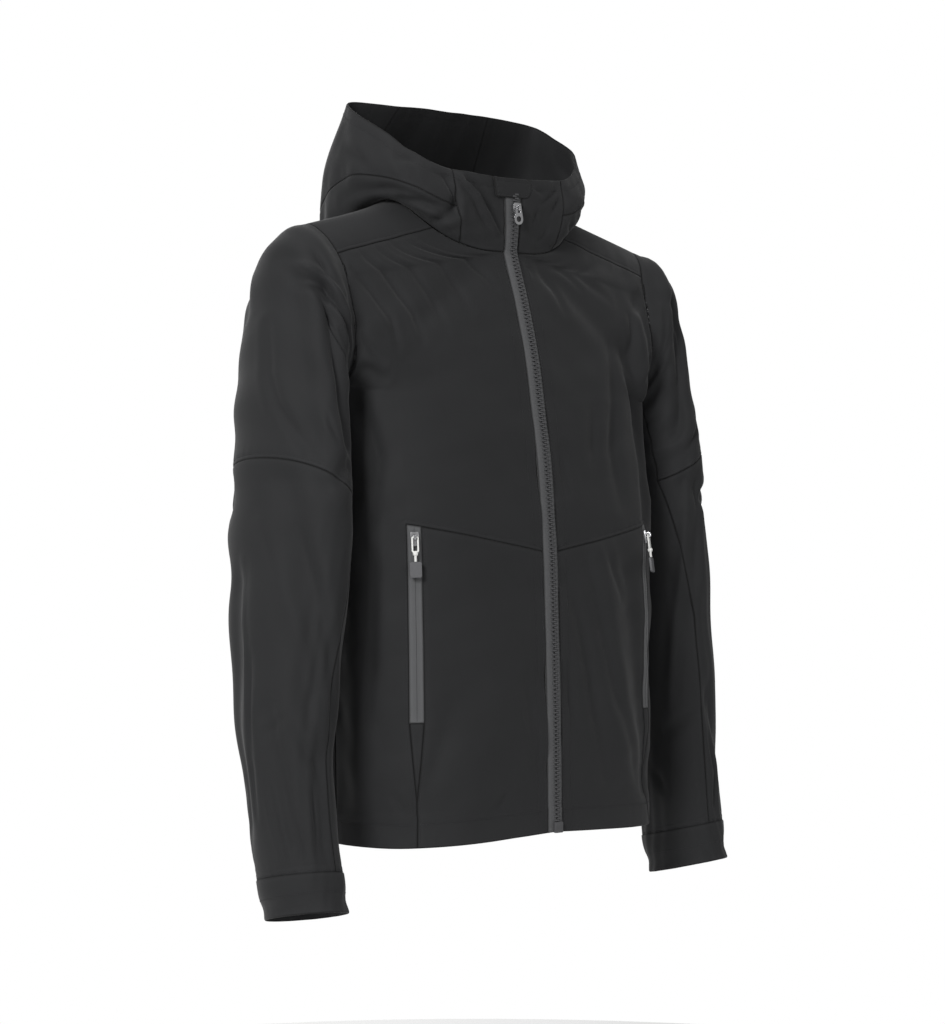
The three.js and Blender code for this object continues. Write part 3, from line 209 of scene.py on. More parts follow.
# Finer creases of the body: face, points (across, height) along it, width and depth
BODY_CREASES = [
    ("front", [(-66, -42), (-50, -54), (-34, -70), (-26, -84)], 4.5, -2.4),
    ("front", [(-232, -172), (-198, -175), (-165, -184)], 5.0, -2.4),
    ("front", [(-228, -142), (-203, -156), (-180, -166)], 5.0, -1.8),
    ("front", [(-176, -214), (-171, -273), (-177, -324)], 8.0, -1.9),
    ("front", [(-236, -76), (-205, -96), (-173, -124), (-160, -150)], 5.5, -2.2),
    ("front", [(-197, -62), (-168, -86), (-137, -116), (-124, -142)], 5.5, -2.4),
    ("front", [(-152, -54), (-130, -76), (-104, -103), (-92, -130)], 5.5, -2.0),
    ("front", [(-104, -46), (-86, -66), (-68, -90), (-60, -112)], 5.0, -1.8),
    ("front", [(48, -50), (72, -62), (92, -78)], 4.5, -1.5),
    ("front", [(226, -80), (178, -108), (163, -142), (160, -180)], 6.5, -2.2),
    ("front", [(-178, -361), (-182, -443), (-189, -520)], 9.0, -2.2),
    ("front", [(-99, -504), (-115, -557), (-135, -611)], 9.0, -1.8),
    ("front", [(-28, -477), (-26, -520), (-18, -576)], 6.0, -1.6),
    ("front", [(-160, -593), (-152, -603), (-146, -614)], 3.5, -1.2),
    ("front", [(-50, -594), (-57, -603), (-64, -614)], 3.5, -1.1),
    ("front", [(-38, -618), (-34, -628), (-31, -638)], 3.0, -0.9),
    ("front", [(40, -52), (90, -60), (143, -88)], 6.0, -1.5),
    ("front", [(34, -62), (46, -82), (52, -106)], 5.0, -1.5),
    ("front", [(14, -50), (20, -58), (24, -68)], 3.0, -0.9),
    ("front", [(228, -150), (200, -162), (172, -182)], 5.0, -2.0),
    ("front", [(21, -249), (23, -273), (27, -298)], 5.0, -1.6),
    ("front", [(65, -207), (61, -236), (58, -264)], 6.0, -1.9),
    ("front", [(120, -137), (97, -194), (85, -251), (88, -307)], 8.0, -2.8),
    ("front", [(134, -169), (149, -198), (156, -226)], 6.0, -2.0),
    ("front", [(17, -383), (33, -428), (43, -479), (50, -527), (62, -591)], 7.0, -2.6),
    ("front", [(41, -357), (56, -428), (71, -498), (90, -556), (109, -596)], 7.0, -2.4),
    ("front", [(63, -350), (73, -377), (85, -404)], 5.0, -1.6),
    ("front", [(20, -477), (21, -508), (24, -539)], 5.0, -1.6),
    ("back", [(-180, -130), (-134, -176), (-92, -258)], 9.0, -2.6),
    ("back", [(182, -120), (142, -168), (112, -250)], 9.0, -2.4),
    ("back", [(-40, -74), (-72, -108), (-118, -140)], 7.0, -1.8),
    ("back", [(50, -70), (84, -104), (128, -132)], 7.0, -1.7),
    ("back", [(-210, -188), (-172, -214), (-142, -262)], 6.0, -2.1),
    ("back", [(212, -182), (178, -208), (150, -262)], 6.0, -2.0),
    ("back", [(-20, -250), (-34, -340), (-28, -430)], 9.0, -2.0),
    ("back", [(26, -330), (42, -420), (36, -520)], 9.0, -2.1),
    ("back", [(-110, -420), (-126, -500), (-118, -590)], 8.0, -2.2),
    ("back", [(150, -420), (140, -510), (152, -590)], 8.0, -1.9),
    ("back", [(-164, -326), (-122, -350), (-84, -348)], 7.0, -1.7),
    ("back", [(64, -298), (110, -322), (164, -314)], 7.0, -1.6),
    ("back", [(-72, -590), (-64, -600), (-58, -612)], 3.5, -1.1),
    ("back", [(92, -588), (84, -600), (78, -612)], 3.5, -1.1),
]

# Finer creases of the sleeves: side, points (ring, turn) along it, width and depth
SLEEVE_CREASES = [
    (-1, [(2.0, 0.05), (1.86, 0.1), (1.5, 0.15), (1.2, 0.2), (0.9, 0.26)], 7.5, 3.2),
    (-1, [(2.3, 0.08), (2.08, 0.12), (1.8, 0.17), (1.55, 0.22), (1.1, 0.3)], 8.0, -5.6),
    (-1, [(2.1, 0.14), (2.24, 0.19), (2.3, 0.25), (2.4, 0.3)], 5.0, -2.8),
    (-1, [(3.11, 0.007), (3.83, 0.02), (4.27, 0.05), (4.51, 0.083), (4.83, 0.133)], 6.0, -2.4),
    (-1, [(4.13, 0.19), (4.27, 0.2), (4.45, 0.235)], 4.0, -1.8),
    (-1, [(5.8, 0.03), (6.2, 0.07), (6.6, 0.11), (7.0, 0.16), (7.5, 0.21), (7.8, 0.27)], 8.0, 2.2),
    (-1, [(5.9, 0.11), (6.3, 0.16), (6.7, 0.21), (7.1, 0.26), (7.6, 0.31)], 9.0, -3.4),
    (-1, [(6.15, 0.963), (7.07, 0.973), (7.96, 0.99)], 3.5, 1.4),
    (-1, [(7.07, 0.995), (7.76, 0.99), (8.4, 0.98)], 4.5, -1.8),
    (-1, [(7.76, 0.037), (7.68, 0.08), (7.62, 0.12)], 4.0, -1.3),
    (-1, [(7.74, 0.137), (7.92, 0.187), (8.1, 0.26)], 6.0, -2.2),
    (-1, [(8.1, 0.045), (8.5, 0.063), (8.9, 0.08)], 4.0, -2.0),
    (-1, [(8.22, 0.213), (8.46, 0.21), (8.8, 0.197)], 4.0, -2.0),
    (-1, [(8.5, 0.13), (8.7, 0.14), (8.9, 0.13)], 3.5, -1.2),
    (-1, [(3.4, 0.62), (3.9, 0.68), (4.3, 0.78)], 7.0, -2.4),
    (-1, [(4.6, 0.8), (5.1, 0.72), (5.5, 0.64)], 7.0, -2.6),
    (-1, [(5.2, 0.88), (5.6, 0.8), (5.9, 0.72)], 6.0, -2.3),
    (-1, [(6.4, 0.82), (7.2, 0.77), (8.0, 0.8)], 7.0, -2.1),
    (-1, [(8.1, 0.66), (8.5, 0.7), (8.88, 0.68)], 4.0, -1.7),
    (-1, [(8.2, 0.86), (8.6, 0.84), (8.9, 0.88)], 4.0, -1.7),
    (-1, [(5.0, 0.4), (5.3, 0.46), (5.5, 0.55)], 6.0, -2.0),
    (-1, [(1.4, 0.78), (2.0, 0.86), (2.8, 0.9)], 7.0, -2.2),
    (1, [(0.8, 0.19), (1.5, 0.18), (2.24, 0.177), (2.97, 0.213)], 6.0, -2.6),
    (1, [(0.68, 0.187), (0.8, 0.25), (0.98, 0.323)], 5.0, -2.0),
    (1, [(2.9, 0.02), (3.6, 0.04), (4.4, 0.1)], 6.0, -2.0),
    (1, [(4.0, 0.14), (4.4, 0.2), (4.6, 0.27)], 6.0, -2.1),
    (1, [(4.91, 0.267), (5.63, 0.3), (6.47, 0.327), (7.11, 0.363), (7.84, 0.407)], 5.0, 2.2),
    (1, [(5.0, 0.22), (5.7, 0.25), (6.5, 0.28), (7.2, 0.32)], 7.0, -2.4),
    (1, [(5.3, 0.1), (5.6, 0.16), (5.7, 0.24)], 6.0, -2.1),
    (1, [(6.0, 0.02), (6.8, 0.0), (7.6, 0.03)], 6.0, -1.9),
    (1, [(7.92, 0.3), (8.0, 0.37), (8.06, 0.427)], 5.0, -2.0),
    (1, [(8.2, 0.06), (8.6, 0.1), (8.9, 0.08)], 4.0, -1.7),
    (1, [(8.2, 0.25), (8.5, 0.22), (8.85, 0.24)], 4.0, -1.7),
    (1, [(8.38, 0.503), (8.48, 0.477), (8.58, 0.447)], 4.0, -1.5),
    (1, [(3.5, 0.63), (3.9, 0.7), (4.4, 0.76)], 7.0, -2.3),
    (1, [(4.7, 0.82), (5.1, 0.74), (5.6, 0.66)], 7.0, -2.6),
    (1, [(6.3, 0.82), (7.1, 0.78), (7.9, 0.8)], 7.0, -2.0),
    (1, [(8.2, 0.7), (8.6, 0.66), (8.88, 0.7)], 4.0, -1.6),
    (1, [(1.5, 0.8), (2.1, 0.85), (2.7, 0.92)], 7.0, -2.1),
]

# Finer creases of the hood: side, points (way round, height) along it, width and depth
HOOD_CREASES = [
    (-1, [(0.281, 0.98), (0.164, 0.906), (0.124, 0.765), (0.097, 0.557), (0.06, 0.295)], 4.5, 3.4),
    (-1, [(0.25, 0.96), (0.135, 0.88), (0.095, 0.74), (0.068, 0.55), (0.036, 0.3)], 4.0, -2.0),
    (-1, [(0.23, 0.86), (0.2, 0.66), (0.21, 0.5), (0.261, 0.36), (0.304, 0.17)], 6.0, -5.0),
    (-1, [(0.452, 0.289), (0.36, 0.37), (0.27, 0.47), (0.21, 0.57)], 6.5, -4.0),
    (-1, [(0.649, 0.745), (0.6, 0.69), (0.555, 0.644)], 5.0, -1.7),
    (-1, [(0.652, 0.443), (0.515, 0.423), (0.33, 0.47)], 5.0, -1.8),
    (-1, [(0.86, 0.3), (0.78, 0.42), (0.72, 0.6)], 7.0, -2.2),
    (-1, [(0.9, 0.7), (0.84, 0.76), (0.78, 0.86)], 6.0, -1.7),
    (-1, [(0.45, 0.8), (0.4, 0.86), (0.35, 0.92)], 4.0, -1.2),
    (-1, [(0.08, 0.35), (0.12, 0.5), (0.13, 0.66)], 4.0, -1.2),
    (1, [(0.05, 0.96), (0.07, 0.9), (0.1, 0.82)], 3.0, -1.2),
    (1, [(0.087, 0.685), (0.12, 0.78), (0.151, 0.872)], 3.0, -1.5),
    (1, [(0.07, 0.43), (0.08, 0.53), (0.087, 0.64)], 3.0, -1.3),
    (1, [(0.14, 0.57), (0.155, 0.68), (0.171, 0.79)], 3.0, -1.3),
    (1, [(0.1, 0.2), (0.13, 0.3), (0.14, 0.42)], 3.5, -1.2),
    (1, [(0.25, 0.46), (0.29, 0.32), (0.31, 0.18)], 5.0, -2.1),
    (1, [(0.62, 0.72), (0.57, 0.66), (0.52, 0.62)], 5.0, -1.6),
    (1, [(0.66, 0.42), (0.5, 0.4), (0.36, 0.46)], 5.0, -1.8),
    (1, [(0.88, 0.34), (0.8, 0.46), (0.74, 0.66)], 7.0, -2.2),
    (1, [(0.92, 0.64), (0.87, 0.7), (0.82, 0.8)], 6.0, -1.6),
]

# Smooth curves through rows of points


def open_ends(rows):
    """Rows with one more at each end, straight on, so that a curve can run through all of them."""
    rows = np.asarray(rows, float)
    if rows.ndim == 1:
        rows = rows[:, None]
    first = 2 * rows[0] - rows[1]
    last = 2 * rows[-1] - rows[-2]
    return np.concatenate([first[None], rows, last[None]])


def mirrored_ends(rows):
    """Rows with one more at each end, mirrored to the other side of the jacket."""
    flip = np.array([-1.0, 1.0, 1.0])
    return np.concatenate([(rows[1] * flip)[None], rows, (rows[-2] * flip)[None]])


def blend(before, first, second, after, t):
    return (
        before * (-0.5 * t + t * t - 0.5 * t**3)
        + first * (1 - 2.5 * t * t + 1.5 * t**3)
        + second * (0.5 * t + 2 * t * t - 1.5 * t**3)
        + after * (-0.5 * t * t + 0.5 * t**3)
    )


def curve(padded_rows, place):
    """Points at the given places of the smooth curve through rows that have their end rows."""
    k = np.clip(np.floor(place).astype(int), 0, len(padded_rows) - 4)
    t = (place - k)[..., None]
    return blend(*(padded_rows[k + n] for n in range(4)), t)


def curve_of_points(stack, place):
    """The same where each place has its own rows: stack is rows x places x 3."""
    padded_rows = open_ends(stack)
    k = np.clip(np.floor(place).astype(int), 0, len(padded_rows) - 4)
    index = np.arange(place.size)
    t = (place - k)[:, None]
    return blend(*(padded_rows[k + n, index] for n in range(4)), t)


ARMHOLE_ROWS = np.concatenate([ARMHOLE[-1:], ARMHOLE, ARMHOLE[:2]])
NECK_ROWS = mirrored_ends(NECK_LINE)


def armhole(turn):
    return curve(ARMHOLE_ROWS, (turn % 1.0) * len(ARMHOLE))


def neck(turn):
    return curve(NECK_ROWS, turn * (len(NECK_LINE) - 1))


def on_centre(rows):
    return [(0.0, y, z) for y, z in rows]


def on_side(rows):
    return [(reach, 2.0, z) for reach, z in rows]


HOLE_FRONT = armhole(np.array([0.5]))
FRONT_START = open_ends(np.concatenate([on_centre(CENTRE_FRONT), neck(np.array([0.0]))]))
BACK_START = open_ends(np.concatenate([neck(np.array([1.0])), on_centre(CENTRE_BACK)]))
FRONT_END = open_ends(np.concatenate([on_side(SIDE_FRONT), HOLE_FRONT]))
BACK_END = open_ends(np.concatenate([HOLE_FRONT, on_side(SIDE_FRONT[::-1])]))
NECK_TURN_ROWS = open_ends(NECK_TURNS)
HOLE_TURN_ROWS = open_ends(HOLE_TURNS)
SQUARE_ROWS = open_ends(SQUARES)


def neck_turn_at(u):
    return curve(NECK_TURN_ROWS, np.clip(u, NECK, BACK_NECK) - NECK)[..., 0]


def hole_turn_at(u):
    return curve(HOLE_TURN_ROWS, np.clip(u, ARMPIT, BACK_ARMPIT) - ARMPIT)[..., 0]


def pick(u, edges, choices):
    """Row by row the first choice whose edge lies above u, or else the last."""
    picked = choices[-1].copy()
    for edge, choice in reversed(list(zip(edges, choices[:-1]))):
        picked = np.where((u < edge)[:, None], choice, picked)
    return picked


def body_form(u, v, side):
    """The plain form of one half of the body: u runs over the rows, v from the centre to the side."""
    start = pick(u, (NECK, BACK_NECK), (
        curve(FRONT_START, np.clip(u, 0, NECK)),
        neck(neck_turn_at(u)),
        curve(BACK_START, np.clip(u, BACK_NECK, BODY_LAST) - BACK_NECK),
    ))
    end = pick(u, (ARMPIT, BACK_ARMPIT), (
        curve(FRONT_END, np.clip(u, 0, ARMPIT)),
        armhole(hole_turn_at(u)),
        curve(BACK_END, np.clip(u, BACK_ARMPIT, BODY_LAST) - BACK_ARMPIT),
    ))
    square = curve(SQUARE_ROWS, u)[:, 0]
    s = np.abs(np.sin(v * math.pi / 2))
    c = np.abs(np.cos(v * math.pi / 2))
    r = (s**square + c**square) ** (-1 / square)
    across = r * s * np.sign(v)
    points = np.stack([
        start[:, 0] + (end[:, 0] - start[:, 0]) * across,
        end[:, 1] + (start[:, 1] - end[:, 1]) * r * c,
        start[:, 2] + (end[:, 2] - start[:, 2]) * np.abs(across),
    ], axis=1)
    points[:, 0] *= side
    return points


# Folds and creases, as distances outward


def fold_share(a, b, start, end, width):
    """1 on a straight fold and less beside it and beyond its ends."""
    da, db = end[0] - start[0], end[1] - start[1]
    length = math.hypot(da, db)
    along = ((a - start[0]) * da + (b - start[1]) * db) / length**2
    aside = ((a - start[0]) * db - (b - start[1]) * da) / length
    beyond = np.maximum(0, np.maximum(-along, along - 1)) * length
    return np.exp(-(aside**2 + beyond**2) / width**2)


def crease_depth(a, b, points, width, depth):
    """A soft trough or ridge along a bent line, with the cloth lifted a little on both sides."""
    nearest = np.full(a.shape, 1e9)
    place = np.zeros(a.shape)
    pieces = len(points) - 1
    for k in range(pieces):
        (a0, b0), (a1, b1) = points[k], points[k + 1]
        da, db = a1 - a0, b1 - b0
        share = np.clip(((a - a0) * da + (b - b0) * db) / (da * da + db * db), 0, 1)
        distance = np.hypot(a - a0 - da * share, b - b0 - db * share)
        closer = distance < nearest
        place = np.where(closer, (k + share) / pieces, place)
        nearest = np.where(closer, distance, nearest)
    fade = np.sin(math.pi * (0.08 + 0.84 * place)) ** 0.8
    trough = np.exp(-((nearest / width) ** 2))
    shoulder = np.exp(-(((nearest - 1.9 * width) / (1.1 * width)) ** 2))
    return FOLD_GAIN * depth * fade * (trough - 0.32 * shoulder)


def waves(a, b, seed, sizes, heights):
    """Uneven cloth: slow waves of several sizes in fixed directions."""
    chance = np.random.RandomState(seed)
    total = np.zeros(a.shape)
    for size, height in zip(sizes, heights):
        for _ in range(5):
            angle = chance.uniform(0, math.pi)
            length = size * chance.uniform(0.75, 1.3)
            phase = chance.uniform(0, 2 * math.pi)
            way = a * math.cos(angle) + b * math.sin(angle)
            total += height / 2.2 * np.sin(2 * math.pi * way / length + phase)
    return total


def body_main(u, v, z, side):
    across = side * v * HALF_GIRTH
    top = 1 - np.maximum(0, 1 - np.abs(u - TOP_ROW) / 1.6)
    seam = np.clip((1 - np.abs(v)) / 0.03, 0, 1)
    total = np.zeros(u.shape)
    for face, a0, b0, a1, b1, width, depth in BODY_FOLDS:
        on_face = (u < FACE_ROW) == (face == "front")
        total += np.where(on_face, depth * fold_share(across, z, (a0, b0), (a1, b1), width), 0)
    low = (u < WAIST) | (u > BACK_NECK)
    turned = np.where(low, TURN_RAISE * smooth(CENTRE_FRONT[0][1] + HEM_TURN - z, -1.2, 1.2), 0)
    return total * top * seam + turned


def smooth(value, low, high):
    t = np.clip((value - low) / (high - low), 0, 1)
    return t * t * (3 - 2 * t)


def body_fine(u, v, z, side):
    across = side * v * HALF_GIRTH
    front = u < FACE_ROW
    fade = smooth(1 - np.abs(v), 0, 0.06) * smooth(np.abs(u - TOP_ROW), 0.2, 1.6)
    total = waves(across + np.where(front, 0, 900), z, 3, (95, 38), (0.9, 0.28))
    for face, points, width, depth in BODY_CREASES:
        shown = front == (face == "front")
        total += np.where(shown, crease_depth(across, z, points, width, depth), 0)
    return total * fade


def hood_form(h, w, side):
    place = h * (len(HOOD_NECK) - 1)
    turn = curve(open_ends(HOOD_NECK), place)[:, 0]
    lines = [curve(mirrored_ends(rows), place) for rows in (HOOD_FOLD, HOOD_BULGE, HOOD_RIM)]
    points = curve_of_points(np.stack([neck(turn)] + lines), w * 3)
    points[:, 0] *= side
    return points


def hood_fine(h, w, z, side):
    place = h * HOOD_ROUND
    height = w * HOOD_TALL
    fade = smooth(w, 0, 0.12)
    total = waves(side * place, height, 11, (70, 30), (0.8, 0.25)) * fade
    for crease_side, points, width, depth in HOOD_CREASES:
        if crease_side == side:
            line = [(turn * HOOD_ROUND, tall * HOOD_TALL) for turn, tall in points]
            total += crease_depth(place, height, line, width, depth) * fade
    return total


def sleeve_ring(ring, turn):
    ox, oz, ix, iz, front, back, tip = SLEEVE_RINGS[ring - 1]
    angle = turn * 2 * math.pi
    away = np.cos(angle)
    forward = np.sin(angle) * (back - front) / 2
    tip = math.radians(tip)
    return np.stack([
        (ox + ix) / 2 + away * (ox - ix) / 2,
        (front + back) / 2 - forward * math.cos(tip),
        (oz + iz) / 2 + away * (oz - iz) / 2 + forward * math.sin(tip),
    ], axis=1)


def sleeve_form(u, turn, side):
    rings = [armhole(turn)] + [sleeve_ring(k, turn) for k in range(1, int(SLEEVE_END) + 1)]
    points = curve_of_points(np.stack(rings), u)
    points[:, 0] *= side
    if side > 0:
        points[:, 2] += curve(open_ends(LEFT_LIFTS), u)[:, 0]
    return points


def sleeve_main(u, turn, z, side):
    total = TURN_RAISE * smooth(u, CUFF - 0.001, CUFF)
    ends = np.minimum(1, u / 1.5) * np.clip((CUFF - u) / 0.3, 0, 1)
    for fold_side, ring0, turn0, ring1, turn1, width, depth in SLEEVE_FOLDS:
        if fold_side == side:
            near = turn - np.round(turn - (turn0 + turn1) / 2)
            start = (turn0 * SLEEVE_GIRTH, ring0 * RING_LENGTH)
            end = (turn1 * SLEEVE_GIRTH, ring1 * RING_LENGTH)
            share = fold_share(near * SLEEVE_GIRTH, u * RING_LENGTH, start, end, width)
            total += depth * share * ends
    return total


def sleeve_fine(u, turn, z, side):
    fade = smooth(u, 0, 0.5)
    angle = turn * 2 * math.pi
    round_turn = 60 * np.cos(angle + 0.7) + 25 * np.sin(2 * angle)
    total = waves(round_turn + side * 300, u * RING_LENGTH, 7, (80, 34), (0.9, 0.3))
    for crease_side, points, width, depth in SLEEVE_CREASES:
        if crease_side == side:
            middle = sum(t for _, t in points) / len(points)
            near = turn - np.round(turn - middle)
            line = [(t * SLEEVE_GIRTH, ring * RING_LENGTH) for ring, t in points]
            total += crease_depth(near * SLEEVE_GIRTH, u * RING_LENGTH, line, width, depth)
    return total * fade


def nothing(u, v, z, side):
    return np.zeros(u.shape)


class Surface:
    """A smooth form with main folds and finer creases. u and v are arrays of one length."""

    def __init__(self, side, form, main, fine, u_last, v_first, v_last, flip):
        self.side, self.form, self.main, self.fine = side, form, main, fine
        self.u_last, self.v_first, self.v_last, self.flip = u_last, v_first, v_last, flip

    def differences(self, place, u, v):
        u0, u1 = np.maximum(u - 0.02, 0), np.minimum(u + 0.02, self.u_last)
        v0, v1 = np.maximum(v - 0.004, self.v_first(u)), np.minimum(v + 0.004, self.v_last)
        way = np.cross(place(u, v1) - place(u, v0), place(u1, v) - place(u0, v)) * self.flip
        return way / np.maximum(np.linalg.norm(way, axis=1), 1e-12)[:, None]

    def at(self, u, v, fine=True):
        u, v = np.broadcast_arrays(np.asarray(u, float), np.asarray(v, float))
        u, v = u.ravel(), v.ravel()
        points = self.form(u, v, self.side)
        lift = self.main(u, v, points[:, 2], self.side)
        if fine:
            lift = lift + self.fine(u, v, points[:, 2], self.side)
        way = self.differences(lambda a, b: self.form(a, b, self.side), u, v)
        return points + way * lift[:, None]

    def out(self, u, v):
        u, v = np.broadcast_arrays(np.asarray(u, float), np.asarray(v, float))
        return self.differences(lambda a, b: self.at(a, b), u.ravel(), v.ravel())


def body_v_first(u):
    return np.where((u > NECK) & (u < BACK_NECK), 0.0, -1.0)


SIDES = ((-1, "right"), (1, "left"))
BODIES = {
    side: Surface(side, body_form, body_main, body_fine, BODY_LAST, body_v_first, 1, side)
    for side, _ in SIDES
}
HOODS = {
    side: Surface(side, hood_form, nothing, hood_fine, 1, lambda u: np.zeros(u.shape), 1, -side)
    for side, _ in SIDES
}
SLEEVES = {
    side: Surface(side, sleeve_form, sleeve_main, sleeve_fine, SLEEVE_END,
                  lambda u: np.full(u.shape, -1.0), 2, side)
    for side, _ in SIDES
}


# Places on the surfaces


def shift_v(surface, u, v, distance):
    """The place v reached by going a few millimetres along v."""
    ahead = math.copysign(0.01, distance)
    step = np.linalg.norm(surface.at(u, v, False) - surface.at(u, v + ahead, False), axis=1)
    return v + ahead * abs(distance) / step


def column_at(surface, u, distance):
    """The place v where a body row lies a given distance from the centre plane."""
    low = np.zeros(u.shape)
    high = np.ones(u.shape)
    for _ in range(18):
        middle = (low + high) / 2
        short = np.abs(surface.at(u, middle, False)[:, 0]) < distance
        low, high = np.where(short, middle, low), np.where(short, high, middle)
    return (low + high) / 2


def pocket_half(u):
    share = (u - WEDGE_POINT) / (POCKET_FOOT - WEDGE_POINT)
    return POCKET_HALF * np.clip(share, 0, 1)


TURN_TABLE = np.linspace(0, 1, 2001)
ZIP_TURN = float(np.interp(ZIP_HALF + HALF_GAP, neck(TURN_TABLE)[:, 0][:400], TURN_TABLE[:400]))


def body_at_neck(turn):
    table = np.linspace(NECK, BACK_NECK, 2001)
    return float(np.interp(turn, neck_turn_at(table), table))


def hood_at_neck(turn):
    turns = curve(open_ends(HOOD_NECK), TURN_TABLE * (len(HOOD_NECK) - 1))[:, 0]
    return float(np.interp(turn, turns, TURN_TABLE))


def stations(length, spacing, near_first=(), near_last=()):
    """Distances along a line, with places of their own near its ends."""
    first = [0.0] + [d for d in near_first if d < length * 0.45]
    last = [length - d for d in near_last if d < length * 0.45][::-1] + [length]
    count = max(1, round((last[0] - first[-1]) / spacing))
    middle = np.linspace(first[-1], last[0], count + 1)[1:-1]
    return np.array(first + list(middle) + last)


def along_u(surface, u0, u1, v, spacing, near_first=(), near_last=()):
    """Places u between u0 and u1 at distances measured along one column."""
    table = np.linspace(u0, u1, 400)
    points = surface.at(table, np.full(table.shape, float(v)), False)
    run = np.concatenate([[0], np.cumsum(np.linalg.norm(np.diff(points, axis=0), axis=1))])
    return np.interp(stations(run[-1], spacing, near_first, near_last), run, table)


def across_shares(surface, u, inner, outer, spacing, near_first=(), near_last=()):
    """Shares of the way from the inner to the outer edge, at distances measured at one row."""
    row = np.full(200, float(u))
    v = np.linspace(float(inner(row[:1])[0]), float(outer(row[:1])[0]), 200)
    points = surface.at(row, v, False)
    length = float(np.linalg.norm(np.diff(points, axis=0), axis=1).sum())
    return stations(length, spacing, near_first, near_last) / length

# Cloth pieces


class Grid:
    """Lines of points on one surface; flat is their place on the flat cloth, in millimetres."""

    def __init__(self, cube, toward, u, v, side):
        self.cube, self.toward, self.side = cube, toward, side
        self.u, self.v = np.broadcast_arrays(u, v)
        steps_u = np.linalg.norm(np.diff(cube, axis=0), axis=2)
        steps_v = np.linalg.norm(np.diff(cube, axis=1), axis=2)
        run_u = np.concatenate([[0], np.cumsum(steps_u.mean(axis=1))])
        run_v = np.concatenate([[0], np.cumsum(steps_v.mean(axis=0))])
        self.flat = np.stack(np.broadcast_arrays(side * run_v[None, :], run_u[:, None]), axis=2)


def grid_on(surface, u, v):
    """A grid of a surface's points at places u and v."""
    u, v = np.broadcast_arrays(np.asarray(u, float), np.asarray(v, float))
    cube = surface.at(u, v).reshape(u.shape + (3,))
    i, j = u.shape[0] // 2, u.shape[1] // 2
    toward = surface.out(u[i - 1:i, j - 1], v[i - 1:i, j - 1])[0]
    return Grid(cube, toward, u, v, surface.side)


WELD_STEP = 0.025        # points of two grids this close become one


def weld(grids):
    """One mesh from grids that share edges: points, faces, flat places of corners, and places."""
    points, faces, corners, places = [], [], [], []
    base = 0
    for grid in grids:
        rows, columns = grid.u.shape
        index = base + np.arange(rows * columns).reshape(rows, columns)
        quads = np.stack([
            index[:-1, :-1], index[:-1, 1:], index[1:, 1:], index[1:, :-1]], axis=2).reshape(-1, 4)
        i, j = rows // 2 - 1, columns // 2 - 1
        first = grid.cube[i, j + 1] - grid.cube[i, j]
        second = grid.cube[i + 1, j] - grid.cube[i, j]
        if np.dot(np.cross(first, second), grid.toward) < 0:
            quads = quads[:, ::-1]
        points.append(grid.cube.reshape(-1, 3))
        faces.append(quads)
        corners.append(grid.flat.reshape(-1, 2))
        places.append(np.stack([
            grid.u.ravel(), grid.v.ravel(), np.full(grid.u.size, grid.side)], axis=1))
        base += rows * columns
    points, faces = np.concatenate(points), np.concatenate(faces)
    corners, places = np.concatenate(corners), np.concatenate(places)
    rounded = np.round(points / WELD_STEP) + 0.0
    _, first, same = np.unique(rounded, axis=0, return_index=True, return_inverse=True)
    welded = same.ravel()[faces]
    whole = (np.sort(welded, axis=1)[:, 1:] > np.sort(welded, axis=1)[:, :-1]).all(axis=1)
    return points[first], welded[whole], corners[faces][whole], places[first]


MIDDLE_REACH = 0.6        # points of a half piece this near the centre plane lie on its middle line


def join_middles(first, second):
    """Give the two mirrored halves of a piece the very same points on the centre plane."""
    middle = np.abs(first.cube[..., 0]) < MIDDLE_REACH
    second.cube[middle] = first.cube[middle]


def corner_normals(points, faces):
    """The mean way outward at each point of a mesh of four-cornered faces."""
    first = points[faces[:, 2]] - points[faces[:, 0]]
    second = points[faces[:, 3]] - points[faces[:, 1]]
    face_ways = np.cross(first, second)
    ways = np.zeros(points.shape)
    for corner in range(4):
        np.add.at(ways, faces[:, corner], face_ways)
    return ways / np.maximum(np.linalg.norm(ways, axis=1), 1e-12)[:, None]


def border_edges(faces):
    edges = np.concatenate([faces[:, [k, (k + 1) % 4]] for k in range(4)])
    keys = edges[:, 0].astype(np.int64) * 10**7 + edges[:, 1]
    back = edges[:, 1].astype(np.int64) * 10**7 + edges[:, 0]
    return edges[~np.isin(keys, back)]


def border_loops(edges):
    """The border's edges as closed rings of point numbers."""
    following = {int(a): int(b) for a, b in edges}
    loops = []
    while following:
        start = next(iter(following))
        ring = [start]
        step = following.pop(start)
        while step != start and step in following:
            ring.append(step)
            step = following.pop(step)
        loops.append(ring)
    return loops


class Border:
    """The edges of a cloth piece, sampled closely, with the kind of edge at each sample."""

    def __init__(self, points, normals, loops, kinds):
        samples, ways, kind_list, runs = [], [], [], []
        run = 0.0
        for ring in loops:
            for a, b in zip(ring, ring[1:] + ring[:1]):
                step = points[b] - points[a]
                length = float(np.linalg.norm(step))
                count = max(1, int(length / 0.6))
                inward = np.cross(normals[a] + normals[b], step)
                inward = inward / max(float(np.linalg.norm(inward)), 1e-9)
                kind = kinds[a] if kinds[a] == kinds[b] else ""
                for k in range(count):
                    samples.append(points[a] + step * (k / count))
                    ways.append(inward)
                    kind_list.append(kind)
                    runs.append(run + length * k / count)
                run += length
        self.points = np.array(samples)
        self.ways = np.array(ways)
        self.kinds = kind_list
        self.runs = np.array(runs)
        self.tree = KDTree(len(samples))
        for number, sample in enumerate(samples):
            self.tree.insert(sample, number)
        self.tree.balance()

    def nearest(self, points):
        found = [self.tree.find(point) for point in points.tolist()]
        return np.array([f[2] for f in found]), np.array([f[1] for f in found])


